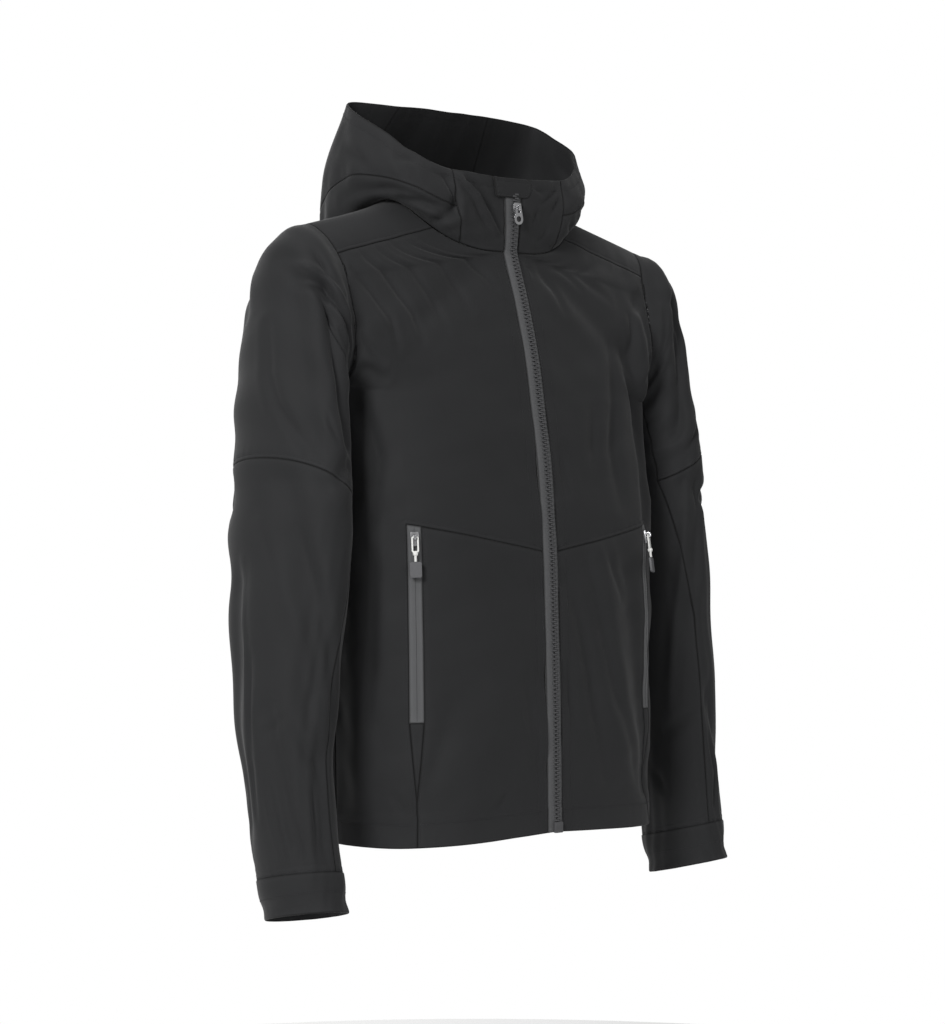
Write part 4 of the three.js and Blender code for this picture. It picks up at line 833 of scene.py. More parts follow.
# Kinds of edge: how far the edge rolls in, and its stitch rows
EDGE_KINDS = {
    "": {"roll": 1.15, "rows": ()},
    "seam": {"roll": 1.15, "rows": ()},
    "sewn": {"roll": 1.15, "rows": (SEAM_ROW,)},
    "close": {"roll": 1.05, "rows": (2.6,)},
    "twice": {"roll": 1.1, "rows": (2.2, 7.0)},
    "placket": {"roll": 0.95, "rows": PLACKET_ROWS},
    "hem": {"roll": 0.7, "rows": (HEM_ROW,)},
    "cuff": {"roll": 0.7, "rows": (CUFF_ROW,)},
    "rim": {"roll": 0.7, "rows": (RIM_ROW,)},
    "guard": {"roll": 0.7, "rows": (3.2,)},
    "tape": {"roll": 0.15, "rows": ()},
}
EDGE_STEPS = (0.45, 1.0, 1.7, 2.8)
ROLL_WIDTH = 2.2         # an edge rolls in over this width
INNER_ROLL = 0.05        # the inner face comes out by this share of the roll
OUTER_DIP = 0.34         # a stitch row draws the two faces together by these
INNER_DIP = 0.15
WEAR_AND_SHADE_REACH = 3.2         # rubbing and the painted shade in a seam's groove die away over this width


def steps_for(kind):
    """Distances from an edge of this kind at which the mesh has lines of its own."""
    steps = list(EDGE_STEPS)
    for row in EDGE_KINDS[kind]["rows"]:
        steps += [row - 1.1, row, row + 1.1]
    if kind == "hem":
        steps += [HEM_TURN - 1.0, HEM_TURN, HEM_TURN + 1.2]
    steps = sorted(steps)
    spaced = [steps[0]]
    for step in steps[1:]:
        if step - spaced[-1] > 0.4:
            spaced.append(step)
    return tuple(spaced)


STITCH_PATHS = []
CENTRE_PATHS = []


def sewn_piece(name, grids, kind_of):
    """A thin closed wall of cloth with rolled seams, puckers and dips along its stitch rows."""
    points, faces, flat, places = weld(grids)
    normals = corner_normals(points, faces)
    edges = border_edges(faces)
    loops = border_loops(edges)
    kinds = {int(k): "" for k in edges.ravel()}
    for k in kinds:
        kinds[k] = kind_of(*places[k])
    border = Border(points, normals, loops, kinds)
    distance, nearest = border.nearest(points)
    near_kind = np.array([border.kinds[int(n)] for n in nearest])
    run = border.runs[nearest.astype(int)]
    roll = np.array([EDGE_KINDS[kind]["roll"] for kind in near_kind])
    rounding = 1 - np.sqrt(1 - (1 - np.clip(distance / ROLL_WIDTH, 0, 1)) ** 2)
    sewn = np.isin(near_kind, [k for k, facts in EDGE_KINDS.items() if facts["rows"]])
    pucker = puckers(run, distance) * np.where(sewn, 1.0, 0.55)
    dips = np.zeros(len(points))
    for kind, facts in EDGE_KINDS.items():
        for row in facts["rows"]:
            dips += np.where(near_kind == kind, np.exp(-((distance - row) ** 2)), 0)
    outer_lift = pucker - roll * rounding - OUTER_DIP * dips
    inner_lift = pucker - CLOTH + INNER_ROLL * roll * rounding + INNER_DIP * dips
    outer = points + normals * outer_lift[:, None]
    inner = points + normals * inner_lift[:, None]
    count = len(points)
    rim = np.array([[b, a, a + count, b + count] for a, b in edges.tolist()])
    all_faces = np.concatenate([faces, faces[:, ::-1] + count, rim])
    mesh = bpy.data.meshes.new(name)
    mesh.from_pydata((np.concatenate([outer, inner]) * MM).tolist(), [], all_faces.tolist())
    corner_at = np.zeros((count, 2))
    corner_at[faces.ravel()] = flat.reshape(-1, 2)
    rim_flat = corner_at[rim % count]
    all_flat = np.concatenate([flat, flat[:, ::-1], rim_flat]).reshape(-1, 2) * MM
    layer = mesh.uv_layers.new(name="cloth")
    layer.data.foreach_set("uv", all_flat.ravel())
    # closeness to an edge: it drives both the rubbed wear and the painted shade along seams and edges
    seam = mesh.attributes.new("seam", "FLOAT", "POINT")
    near_seam = np.exp(-((distance / WEAR_AND_SHADE_REACH) ** 2))
    seam.data.foreach_set("value", np.concatenate([near_seam, near_seam]))
    inside = np.zeros(len(all_faces), dtype=np.int32)
    inside[len(faces):2 * len(faces)] = 1
    mesh.polygons.foreach_set("material_index", inside)
    mesh.polygons.foreach_set("use_smooth", np.ones(len(all_faces), dtype=bool))
    mesh.update()
    piece = bpy.data.objects.new(f"{name}_cloth", mesh)
    bpy.context.scene.collection.objects.link(piece)
    collect_rows(border, outer, faces)
    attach(piece, "garment")
    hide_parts(name)
    return piece


def puckers(run, distance):
    """Small waves along a seam that die away a centimetre from it."""
    grown = np.exp(-distance / 9) * (1 - np.exp(-distance / 1.5))
    strength = 0.55 + 0.45 * np.sin(2 * math.pi * run / 137 + 0.6) * np.sin(2 * math.pi * run / 61)
    wave = np.sin(2 * math.pi * run / 13.7) + 0.6 * np.sin(2 * math.pi * run / 9.1 + 1.3)
    return 0.3 * grown * strength * wave


def collect_rows(border, outer, faces):
    """Lays the piece's stitch rows on its finished outer face."""
    tree = BVHTree.FromPolygons(outer.tolist(), faces.tolist())
    for kind, facts in EDGE_KINDS.items():
        for row in facts["rows"]:
            line = []
            for k, sample_kind in enumerate(border.kinds):
                if sample_kind == kind:
                    line.append(k)
                elif line:
                    lay_row(border, line, row, tree)
                    line = []
            if line:
                lay_row(border, line, row, tree)


def lay_row(border, line, row, tree):
    if len(line) < 12:
        return
    path = []
    for k in line[::4]:
        window = [n for n in range(max(line[0], k - 6), min(line[-1], k + 6) + 1)]
        point = border.points[window].mean(axis=0)
        inward = border.ways[window].mean(axis=0)
        inward = inward / max(float(np.linalg.norm(inward)), 1e-9)
        place, way, _, _ = tree.find_nearest(point + inward * row)
        path.append((tuple(place), tuple(way)))
    STITCH_PATHS.append(path)


# The pieces of the body

SPACING = 3.3            # mesh lines on plain cloth
SMALL = HALF_GAP / 80    # half a seam's gap, as a part of a row


def side_edge(surface):
    return lambda u: shift_v(surface, u, np.ones(u.shape), -HALF_GAP)


def neck_edge(surface):
    return lambda u: np.where(u < BACK_NECK, shift_v(surface, u, np.zeros(u.shape), HALF_GAP), 0.0)


def zip_edge(surface):
    row = body_at_neck(ZIP_TURN)

    def edge(u):
        beside = column_at(surface, u, ZIP_HALF + HALF_GAP)
        return np.where(u > row, shift_v(surface, u, np.zeros(u.shape), HALF_GAP), beside)

    return edge


def pocket_edge(surface, way):
    return lambda u: column_at(surface, u, POCKET_AT + way * (pocket_half(u) + HALF_GAP))


def fill(surface, rows, inner, outer, shares):
    """A grid whose columns are spread between two edges that follow the rows."""
    first, last = inner(rows), outer(rows)
    return grid_on(surface, rows[:, None], first[:, None] + (last - first)[:, None] * shares[None, :])


def chest_kind(u, v, side):
    if u < 0.02:
        return "hem"
    if v > 0.96:
        return "seam" if u < ARMPIT else "close"
    if u > YOKE - 0.02:
        return "seam"
    if u > body_at_neck(ZIP_TURN) and v < 0.05:
        return "seam"
    if abs(u - WAIST) < 0.02:
        return "sewn"
    if u < WAIST:
        return "close"
    return "placket" if v < 0.3 else "seam"


def chest_panel(side, name):
    surface = BODIES[side]
    low = along_u(surface, 0, WAIST + SMALL, 0.72, SPACING, steps_for("hem"), EDGE_STEPS)
    high = along_u(surface, WAIST + SMALL, YOKE - SMALL, 0.4, SPACING, steps_for("sewn"), EDGE_STEPS)
    pocket, seam, front = pocket_edge(surface, 1), side_edge(surface), zip_edge(surface)
    outer_shares = across_shares(surface, 3, pocket, seam, SPACING, steps_for("close"), steps_for("close"))
    inner_shares = across_shares(surface, 5, front, pocket, SPACING, steps_for("placket"), EDGE_STEPS)
    grids = [
        fill(surface, np.concatenate([low, high[1:]]), pocket, seam, outer_shares),
        fill(surface, high, front, pocket, inner_shares),
    ]
    return sewn_piece(f"chest_panel_{name}", grids, chest_kind)


def lower_kind(u, v, side):
    if u < 0.02:
        return "hem"
    if u > WAIST - 0.02:
        return "seam"
    return "placket" if v < 0.2 else "close"


def lower_front(side, name):
    surface = BODIES[side]
    rows = along_u(surface, 0, WAIST - SMALL, 0.3, SPACING, steps_for("hem"), EDGE_STEPS)
    front, pocket = zip_edge(surface), pocket_edge(surface, -1)
    shares = across_shares(surface, 2, front, pocket, SPACING, steps_for("placket"), steps_for("close"))
    return sewn_piece(f"lower_front_{name}", [fill(surface, rows, front, pocket, shares)], lower_kind)


def plain_kind(u, v, side):
    return "seam"


def tape_kind(u, v, side):
    return "tape"


WEDGE_TIP = 0.12         # least half width of the wedge below a pocket


def pocket_pieces(side, name):
    surface = BODIES[side]

    def edge(way):
        def distance(u):
            return POCKET_AT + way * np.maximum(pocket_half(u) - HALF_GAP, WEDGE_TIP)

        return lambda u: column_at(surface, u, distance(u))

    shares = stations(12, 1.2) / 12
    rows = along_u(surface, POCKET_FOOT + SMALL, WAIST - SMALL, 0.7, 2.4, EDGE_STEPS, EDGE_STEPS)
    strip = sewn_piece(f"pocket_zip_{name}", [fill(surface, rows, edge(-1), edge(1), shares)],
                       tape_kind)
    rows = along_u(surface, WEDGE_POINT + 0.03, POCKET_FOOT - SMALL, 0.7, 2.4, (), EDGE_STEPS)
    wedge = sewn_piece(f"pocket_wedge_{name}", [fill(surface, rows, edge(-1), edge(1), shares)],
                       plain_kind)
    u = np.linspace(POCKET_FOOT + 0.03, WAIST - 0.03, 160)
    v = column_at(surface, u, POCKET_AT)
    points, ways = surface.at(u, v), surface.out(u, v)
    CENTRE_PATHS.append(list(zip(points.tolist(), ways.tolist())))
    return strip, wedge


def yoke_kind(u, v, side):
    if u < YOKE + 0.05 or u > BACK_YOKE - 0.05:
        return "sewn"
    return "seam" if v < 0.5 else "close"


def shoulder_yoke(side, name):
    surface = BODIES[side]
    sewn = steps_for("sewn")
    rows = along_u(surface, YOKE + SMALL, BACK_YOKE - SMALL, 0.5, SPACING, sewn, sewn)
    inner, outer = neck_edge(surface), side_edge(surface)
    shares = across_shares(surface, 11, inner, outer, SPACING, EDGE_STEPS, steps_for("close"))
    return sewn_piece(f"shoulder_yoke_{name}", [fill(surface, rows, inner, outer, shares)], yoke_kind)


def back_kind(u, v, side):
    if u > BODY_LAST - 0.02:
        return "hem"
    if v > 0.96 and u < BACK_ARMPIT:
        return "close"
    return "seam"


def back_panel():
    grids = []
    measured = BODIES[SIDES[0][0]]
    top = along_u(measured, BACK_YOKE + SMALL, BACK_NECK, 0.5, SPACING, EDGE_STEPS)
    low = along_u(measured, BACK_NECK, BODY_LAST, 0.4, SPACING, (), steps_for("hem"))
    shares = across_shares(measured, 18, lambda u: np.zeros(u.shape), side_edge(measured), SPACING, (),
                           steps_for("close"))
    for side, _ in SIDES:
        surface = BODIES[side]
        inner, outer = neck_edge(surface), side_edge(surface)
        grids.append(fill(surface, np.concatenate([top, low[1:]]), inner, outer, shares))
    join_middles(*grids)
    return sewn_piece("back_panel", grids, back_kind)


# The hood, folded down, and the collar fronts


def along_v(surface, u, v0, v1, spacing, near_first=(), near_last=()):
    table = np.linspace(v0, v1, 300)
    points = surface.at(np.full(table.shape, float(u)), table, False)
    run = np.concatenate([[0], np.cumsum(np.linalg.norm(np.diff(points, axis=0), axis=1))])
    return np.interp(stations(run[-1], spacing, near_first, near_last), run, table)


NECK_SMALL = HALF_GAP / HOOD_FOOT   # the hood's seam gap at the neck, as a part of its height
HOOD_SPACING = 3.0


def hood_grid(side, turn0, turn1, w0, w1, kinds):
    measured = HOODS[SIDES[0][0]]
    left, right, foot, top = kinds
    u = along_u(measured, hood_at_neck(turn0), hood_at_neck(turn1), 0.55, HOOD_SPACING, left, right)
    v = along_v(measured, (u[0] + u[-1]) / 2, w0, w1, HOOD_SPACING, foot, top)
    return grid_on(HOODS[side], u[:, None], v[None, :])


def rim_or_seam(u, v, side):
    return "rim" if v > 0.995 else "seam"


def hood_side_kind(u, v, side):
    if v > 0.995:
        return "rim"
    return "close" if v < BAND_TOP + 0.02 else "seam"


def hood_pieces():
    made = []
    rim, seam = steps_for("rim"), EDGE_STEPS
    gap = HALF_GAP / HOOD_ROUND
    for side, name in SIDES:
        table = (
            ("collar_front", ZIP_TURN, COLLAR_END - gap, NECK_SMALL, 1,
             (seam, seam, seam, rim), rim_or_seam),
            ("hood_band", COLLAR_END + gap, CENTRE_PANEL - gap, NECK_SMALL, BAND_TOP - gap,
             (seam, seam, seam, seam), plain_kind),
            ("hood_side", COLLAR_END + gap, CENTRE_PANEL - gap, BAND_TOP + gap, 1,
             (seam, seam, steps_for("close"), rim), hood_side_kind),
        )
        for part, turn0, turn1, w0, w1, kinds, kind_of in table:
            grid = hood_grid(side, turn0, turn1, w0, w1, kinds)
            made.append(sewn_piece(f"{part}_{name}", [grid], kind_of))
    halves = [
        hood_grid(side, CENTRE_PANEL + gap, 1, NECK_SMALL, 1, (seam, (), seam, rim)) for side, _ in SIDES
    ]
    join_middles(*halves)
    made.append(sewn_piece("hood_centre", halves, rim_or_seam))
    return made


# The sleeves


def under_edge(turns, shift):
    return lambda u: np.interp(u, UNDER_RINGS, turns) + shift


def upper_kind(u, v, side):
    if u < 0.03:
        return "seam"
    return "sewn" if u > ELBOW - 0.02 else "seam"


def lower_sleeve_kind(u, v, side):
    return "twice" if u > CUFF - 0.02 else "seam"


def cuff_kind(u, v, side):
    if u > SLEEVE_END - 0.01:
        return "cuff"
    return "seam"


def sleeve_pieces():
    made = []
    seam = EDGE_STEPS
    share_gap = HALF_GAP / SLEEVE_GIRTH
    tiny = HALF_GAP / RING_LENGTH
    for side, name in SIDES:
        surface = SLEEVES[side]
        back = under_edge(np.array(UNDER_BACK) - 1, share_gap)
        front = under_edge(UNDER_FRONT, -share_gap)
        front_under = under_edge(UNDER_FRONT, share_gap)
        back_under = under_edge(UNDER_BACK, -share_gap)
        all_round = (lambda u: np.zeros(u.shape), lambda u: np.ones(u.shape))
        table = (
            ("upper_sleeve", tiny, ELBOW - tiny, back, front, seam, steps_for("sewn"), seam, upper_kind),
            ("lower_sleeve", ELBOW + tiny, CUFF - tiny, back, front, seam, steps_for("twice"), seam,
             lower_sleeve_kind),
            ("under_sleeve", tiny, CUFF - tiny, front_under, back_under, seam, steps_for("twice"), seam,
             lower_sleeve_kind),
            ("cuff", CUFF + tiny, SLEEVE_END, *all_round, seam, steps_for("cuff"), (), cuff_kind),
        )
        for part, u0, u1, inner, outer, first, last, beside, kind_of in table:
            rows = along_u(surface, u0, u1, 0.1, SPACING, first, last)
            shares = across_shares(surface, (u0 + u1) / 2, inner, outer, SPACING, beside, beside)
            made.append(sewn_piece(f"{part}_{name}", [fill(surface, rows, inner, outer, shares)], kind_of))
    return made


# The main zip and the guard over its top


def front_rows(stations_up, distances, lift=0.0):
    """Points up the front at signed distances from the centre; a station is ('u' or 'w', place)."""
    shape = (len(stations_up), len(distances))
    cube = np.zeros(shape + (3,))
    on_body = np.array([kind == "u" for kind, _ in stations_up])
    places = np.array([np.broadcast_to(place, (len(distances),)) for _, place in stations_up], float)
    collar = np.interp(np.abs(distances), collar_reach(), COLLAR_TABLE)
    for side, _ in SIDES:
        own = (distances < 0) == (side < 0)
        for low, surface in ((True, BODIES[side]), (False, HOODS[side])):
            chosen = (on_body == low)[:, None] & own[None, :]
            if not chosen.any():
                continue
            if low:
                u = places[chosen]
                v = column_at(surface, u, np.broadcast_to(np.abs(distances), shape)[chosen])
            else:
                u = np.broadcast_to(collar, shape)[chosen]
                v = places[chosen]
            points = surface.at(u, v, False)
            if lift:
                points = points + surface.out(u, v) * lift
            cube[chosen] = points
    return cube


COLLAR_TABLE = np.linspace(0, 0.4, 200)


def collar_reach():
    return HOODS[1].at(COLLAR_TABLE, np.full(COLLAR_TABLE.shape, 0.5), False)[:, 0]


def zip_stations(spacing, first, last):
    """Stations up the whole front from a body row to a height on the collar."""
    surface = BODIES[1]
    low = along_u(surface, first, NECK, 0.02, spacing)
    high = along_v(HOODS[1], 0.02, 0.05, last, spacing)
    return [("u", u) for u in low] + [("w", w) for w in high]


FRONT_WAY = np.array([0.0, -1.0, 0.0])


def front_grid(rows, distances, lift=0.0):
    cube = front_rows(rows, distances, lift)
    u = np.arange(len(rows))[:, None]
    return Grid(cube, FRONT_WAY, u, distances[None, :], 1)


def zip_tapes():
    tape_edge = ZIP_HALF - HALF_GAP
    rows = zip_stations(3.0, 0, 1)
    made = []
    for name, first, last in (("right", -tape_edge, TEETH_AT - HALF_GAP),
                              ("left", TEETH_AT + HALF_GAP, tape_edge)):
        distances = np.linspace(first, last, max(6, int((last - first) / 0.9)))
        grid = front_grid(rows, distances)
        made.append(sewn_piece(f"zip_tape_{name}", [grid], tape_kind))
    return made


def guard_kind(u, v, side):
    return "guard"


def chin_guard():
    distances = np.unique(np.concatenate([
        -GUARD_END + stations(12, 2, steps_for("guard")), np.linspace(-9, 12, 12),
        GUARD_END - stations(9, 1.2, steps_for("guard"))]))
    turned = np.clip((distances - 13) / (GUARD_END - 13), 0, 1)
    short = 0.45 * (1 - np.sqrt(np.maximum(0, 1 - turned**2)))
    shares = stations(24, 2.4, steps_for("guard"), steps_for("guard")) / 24
    rows = [
        ("w", GUARD_FOOT + (1 - GUARD_FOOT) * (short + share * (1 - 2 * short))) for share in shares
    ]
    grid = front_grid(rows, distances, CLOTH + 0.3)
    return sewn_piece("chin_guard", [grid], guard_kind)


# Stitches and zip teeth by Geometry Nodes


def path_object(name, paths):
    """Edges that follow paths of (point, way outward), in millimetres, with the ways kept."""
    mesh = bpy.data.meshes.new(name)
    points, edges, ways = [], [], []
    for path in paths:
        base = len(points)
        for point, way in path:
            points.append([c * MM for c in point])
            ways.append(tuple(way))
        edges += [(base + k, base + k + 1) for k in range(len(path) - 1)]
    mesh.from_pydata(points, edges, [])
    layer = mesh.attributes.new("outward", "FLOAT_VECTOR", "POINT")
    layer.data.foreach_set("vector", np.array(ways, float).ravel())
    made = bpy.data.objects.new(name, mesh)
    bpy.context.scene.collection.objects.link(made)
    return made


def repeat_tree(name, alternate):
    """A node tree that sets one unit at an even pitch along paths and turns it to the cloth."""
    tree = bpy.data.node_groups.new(name, "GeometryNodeTree")
    face = tree.interface
    face.new_socket("Paths", in_out="INPUT", socket_type="NodeSocketGeometry")
    face.new_socket("Unit", in_out="INPUT", socket_type="NodeSocketObject")
    face.new_socket("Pitch", in_out="INPUT", socket_type="NodeSocketFloat")
    face.new_socket("Lift", in_out="INPUT", socket_type="NodeSocketFloat")
    face.new_socket("Material", in_out="INPUT", socket_type="NodeSocketMaterial")
    face.new_socket("Units", in_out="OUTPUT", socket_type="NodeSocketGeometry")
    nodes, links = tree.nodes, tree.links
    given = nodes.new("NodeGroupInput")
    result = nodes.new("NodeGroupOutput")
    to_curve = nodes.new("GeometryNodeMeshToCurve")
    resample = nodes.new("GeometryNodeResampleCurve")
    resample.mode = "LENGTH"
    outward = nodes.new("GeometryNodeInputNamedAttribute")
    outward.data_type = "FLOAT_VECTOR"
    outward.inputs["Name"].default_value = "outward"
    tangent = nodes.new("GeometryNodeInputTangent")
    along = nodes.new("FunctionNodeAlignRotationToVector")
    along.axis = "X"
    upright = nodes.new("FunctionNodeAlignRotationToVector")
    upright.axis = "Z"
    upright.pivot_axis = "X"
    lift = nodes.new("ShaderNodeVectorMath")
    lift.operation = "SCALE"
    move = nodes.new("GeometryNodeSetPosition")
    unit = nodes.new("GeometryNodeObjectInfo")
    place = nodes.new("GeometryNodeInstanceOnPoints")
    realize = nodes.new("GeometryNodeRealizeInstances")
    finish = nodes.new("GeometryNodeSetMaterial")
    links.new(given.outputs["Paths"], to_curve.inputs["Mesh"])
    links.new(to_curve.outputs["Curve"], resample.inputs["Curve"])
    links.new(given.outputs["Pitch"], resample.inputs["Length"])
    links.new(tangent.outputs["Tangent"], along.inputs["Vector"])
    links.new(along.outputs["Rotation"], upright.inputs["Rotation"])
    links.new(outward.outputs["Attribute"], upright.inputs["Vector"])
    links.new(outward.outputs["Attribute"], lift.inputs[0])
    links.new(given.outputs["Lift"], lift.inputs["Scale"])
    links.new(resample.outputs["Curve"], move.inputs["Geometry"])
    links.new(lift.outputs["Vector"], move.inputs["Offset"])
    links.new(move.outputs["Geometry"], place.inputs["Points"])
    links.new(given.outputs["Unit"], unit.inputs["Object"])
    links.new(unit.outputs["Geometry"], place.inputs["Instance"])
    turned = upright.outputs["Rotation"]
    if alternate:
        number = nodes.new("GeometryNodeInputIndex")
        odd = nodes.new("ShaderNodeMath")
        odd.operation = "MODULO"
        odd.inputs[1].default_value = 2
        half_turn = nodes.new("ShaderNodeMath")
        half_turn.operation = "MULTIPLY"
        half_turn.inputs[1].default_value = math.pi
        own_turn = nodes.new("ShaderNodeCombineXYZ")
        rotate = nodes.new("FunctionNodeRotateRotation")
        rotate.rotation_space = "LOCAL"
        links.new(number.outputs["Index"], odd.inputs[0])
        links.new(odd.outputs["Value"], half_turn.inputs[0])
        links.new(half_turn.outputs["Value"], own_turn.inputs["Z"])
        links.new(turned, rotate.inputs["Rotation"])
        links.new(own_turn.outputs["Vector"], rotate.inputs["Rotate By"])
        turned = rotate.outputs["Rotation"]
    links.new(turned, place.inputs["Rotation"])
    links.new(place.outputs["Instances"], realize.inputs["Geometry"])
    links.new(realize.outputs["Geometry"], finish.inputs["Geometry"])
    links.new(given.outputs["Material"], finish.inputs["Material"])
    links.new(finish.outputs["Geometry"], result.inputs["Units"])
    return tree


def along_paths(name, paths, unit, pitch, lift, material, alternate=False, smooth_faces=True):
    """Plain mesh of units set along paths; the unit object and the path carrier go once it is made, and
    the node tree stays.
    """
    carrier = path_object(name + "_paths", paths)
    tree = repeat_tree(name + "_row", alternate)
    modifier = carrier.modifiers.new("row", "NODES")
    modifier.node_group = tree
    values = {"Unit": unit, "Pitch": pitch, "Lift": lift, "Material": material}
    for item in tree.interface.items_tree:
        if item.in_out == "INPUT" and item.name in values:
            modifier[item.identifier] = values[item.name]
    bpy.context.view_layer.update()
    evaluated = carrier.evaluated_get(bpy.context.evaluated_depsgraph_get())
    mesh = bpy.data.meshes.new_from_object(evaluated)
    mesh.name = name
    made = bpy.data.objects.new(name, mesh)
    bpy.context.scene.collection.objects.link(made)
    mesh.polygons.foreach_set("use_smooth", np.full(len(mesh.polygons), smooth_faces))
    carrier.modifiers.clear()
    bpy.data.objects.remove(carrier)
    bpy.data.objects.remove(unit)
    return made


def bmesh_object(name, build):
    """An object whose mesh a function makes in metres from a new bmesh."""
    work = bmesh.new()
    build(work)
    mesh = bpy.data.meshes.new(name)
    bmesh.ops.recalc_face_normals(work, faces=work.faces)
    work.to_mesh(mesh)
    work.free()
    made = bpy.data.objects.new(name, mesh)
    bpy.context.scene.collection.objects.link(made)
    return made


def stitch_unit(length, width):
    def build(work):
        bmesh.ops.create_icosphere(work, subdivisions=1, radius=1)
        sizes = Matrix.Diagonal((length / 2, width / 2, width / 2, 1))
        bmesh.ops.transform(work, matrix=sizes, verts=work.verts)

    return bmesh_object("stitch", build)


TOOTH_OUTLINE = [
    (-0.95, 3.9), (-1.0, 1.9), (-0.62, 0.9), (-0.95, 0.1), (-0.8, -1.0), (0.8, -1.0),
    (0.95, 0.1), (0.62, 0.9), (1.0, 1.9), (0.95, 3.9),
]
TOOTH_HALF = 0.9         # half a tooth's height above the tape
TOOTH_MIDDLE = 1.45      # a tooth narrows upward about this place along it
TOOTH_TOP = (0.86, 0.93)


def tooth_unit():
    """One moulded tooth: its root on the tape at +Y and its head across the middle."""

    def build(work):
        low, high = [], []
        for x, y in TOOTH_OUTLINE:
            low.append(work.verts.new((x * MM, y * MM, -TOOTH_HALF * MM)))
            top_y = TOOTH_MIDDLE + (y - TOOTH_MIDDLE) * TOOTH_TOP[1]
            high.append(work.verts.new((x * TOOTH_TOP[0] * MM, top_y * MM, TOOTH_HALF * MM)))
        work.faces.new(low[::-1])
        work.faces.new(high)
        for k in range(len(TOOTH_OUTLINE)):
            n = (k + 1) % len(TOOTH_OUTLINE)
            work.faces.new((low[k], low[n], high[n], high[k]))

    return bmesh_object("tooth", build)


# Finishes


def shader_group(name, inputs, outputs):
    """A new shader node group with its input and output nodes."""
    tree = bpy.data.node_groups.new(name, "ShaderNodeTree")
    for label, kind, value in inputs:
        socket = tree.interface.new_socket(label, in_out="INPUT", socket_type=kind)
        if value is not None:
            socket.default_value = value
    for label, kind in outputs:
        tree.interface.new_socket(label, in_out="OUTPUT", socket_type=kind)
    return tree, tree.nodes.new("NodeGroupInput"), tree.nodes.new("NodeGroupOutput")


def math_node(tree, operation, first, second=None, third=None):
    node = tree.nodes.new("ShaderNodeMath")
    node.operation = operation
    for socket, value in zip(node.inputs, (first, second, third)):
        if value is None:
            continue
        if isinstance(value, (int, float)):
            socket.default_value = value
        else:
            tree.links.new(value, socket)
    return node.outputs[0]


def weave_group():
    """Crossed fine threads: a height and a shade, from a place on the cloth in metres."""
    tree, given, result = shader_group("crossed threads", [
        ("Place", "NodeSocketVector", None),
        ("Threads per metre", "NodeSocketFloat", 1500.0),
    ], [("Height", "NodeSocketFloat"), ("Shade", "NodeSocketFloat")])
    split = tree.nodes.new("ShaderNodeSeparateXYZ")
    tree.links.new(given.outputs["Place"], split.inputs[0])
    pitch = math_node(tree, "MULTIPLY", given.outputs["Threads per metre"], math.pi)
    across = math_node(tree, "SINE", math_node(tree, "MULTIPLY", split.outputs[0], pitch))
    along = math_node(tree, "SINE", math_node(tree, "MULTIPLY", split.outputs[1], pitch))
    height = math_node(tree, "MULTIPLY", across, along)
    tree.links.new(height, result.inputs["Height"])
    tree.links.new(math_node(tree, "MULTIPLY_ADD", height, 0.5, 0.5), result.inputs["Shade"])
    return tree


def mottle_group():
    """Soft uneven tone at two sizes, from a place in metres: about 0.5, a little up and down."""
    tree, given, result = shader_group("uneven tone", [
        ("Place", "NodeSocketVector", None),
        ("Large", "NodeSocketFloat", 18.0),
        ("Small", "NodeSocketFloat", 420.0),
    ], [("Tone", "NodeSocketFloat"), ("Grain", "NodeSocketFloat")])
    tones = []
    for label, detail in (("Large", 4.0), ("Small", 2.0)):
        noise = tree.nodes.new("ShaderNodeTexNoise")
        noise.inputs["Detail"].default_value = detail
        tree.links.new(given.outputs["Place"], noise.inputs["Vector"])
        tree.links.new(given.outputs[label], noise.inputs["Scale"])
        tones.append(noise.outputs["Fac"])
    tree.links.new(tones[0], result.inputs["Tone"])
    tree.links.new(tones[1], result.inputs["Grain"])
    return tree


def seam_wear_group():
    """Where cloth is rubbed: beside its seams, broken up unevenly."""
    tree, given, result = shader_group("rubbed seams", [
        ("Seam", "NodeSocketFloat", 0.0),
        ("Grain", "NodeSocketFloat", 0.5),
        ("Amount", "NodeSocketFloat", 0.5),
    ], [("Mask", "NodeSocketFloat")])
    broken = math_node(tree, "MULTIPLY", given.outputs["Seam"], given.outputs["Grain"])
    mask = math_node(tree, "MULTIPLY", broken, given.outputs["Amount"])
    tree.links.new(mask, result.inputs["Mask"])
    return tree


GROUPS = {}


def group_in(material, label, make, values):
    """Places a shared group in a material with the material's own values."""
    if label not in GROUPS:
        GROUPS[label] = make()
    node = material.node_tree.nodes.new("ShaderNodeGroup")
    node.node_tree = GROUPS[label]
    for key, value in values.items():
        node.inputs[key].default_value = value
    return node


def fresh_material(name, colour, roughness, metallic=0.0, sheen=0.0):
    material = bpy.data.materials.new(name)
    material.use_nodes = True
    shader = material.node_tree.nodes["Principled BSDF"]
    shader.inputs["Base Color"].default_value = (*colour, 1)
    shader.inputs["Roughness"].default_value = roughness
    shader.inputs["Metallic"].default_value = metallic
    if sheen:
        shader.inputs["Sheen Weight"].default_value = sheen
        shader.inputs["Sheen Roughness"].default_value = 0.4
        shader.inputs["Specular IOR Level"].default_value = 0.26
    return material, shader


def mix_colours(tree, factor, first, second):
    node = tree.nodes.new("ShaderNodeMix")
    node.data_type = "RGBA"
    if isinstance(factor, float):
        node.inputs["Factor"].default_value = factor
    else:
        tree.links.new(factor, node.inputs["Factor"])
    for socket, value in ((node.inputs[6], first), (node.inputs[7], second)):
        if isinstance(value, tuple):
            socket.default_value = (*value, 1)
        else:
            tree.links.new(value, socket)
    return node.outputs[2]


def bump(material, shader, height, distance, strength):
    node = material.node_tree.nodes.new("ShaderNodeBump")
    node.inputs["Distance"].default_value = distance
    node.inputs["Strength"].default_value = strength
    material.node_tree.links.new(height, node.inputs["Height"])
    material.node_tree.links.new(node.outputs["Normal"], shader.inputs["Normal"])


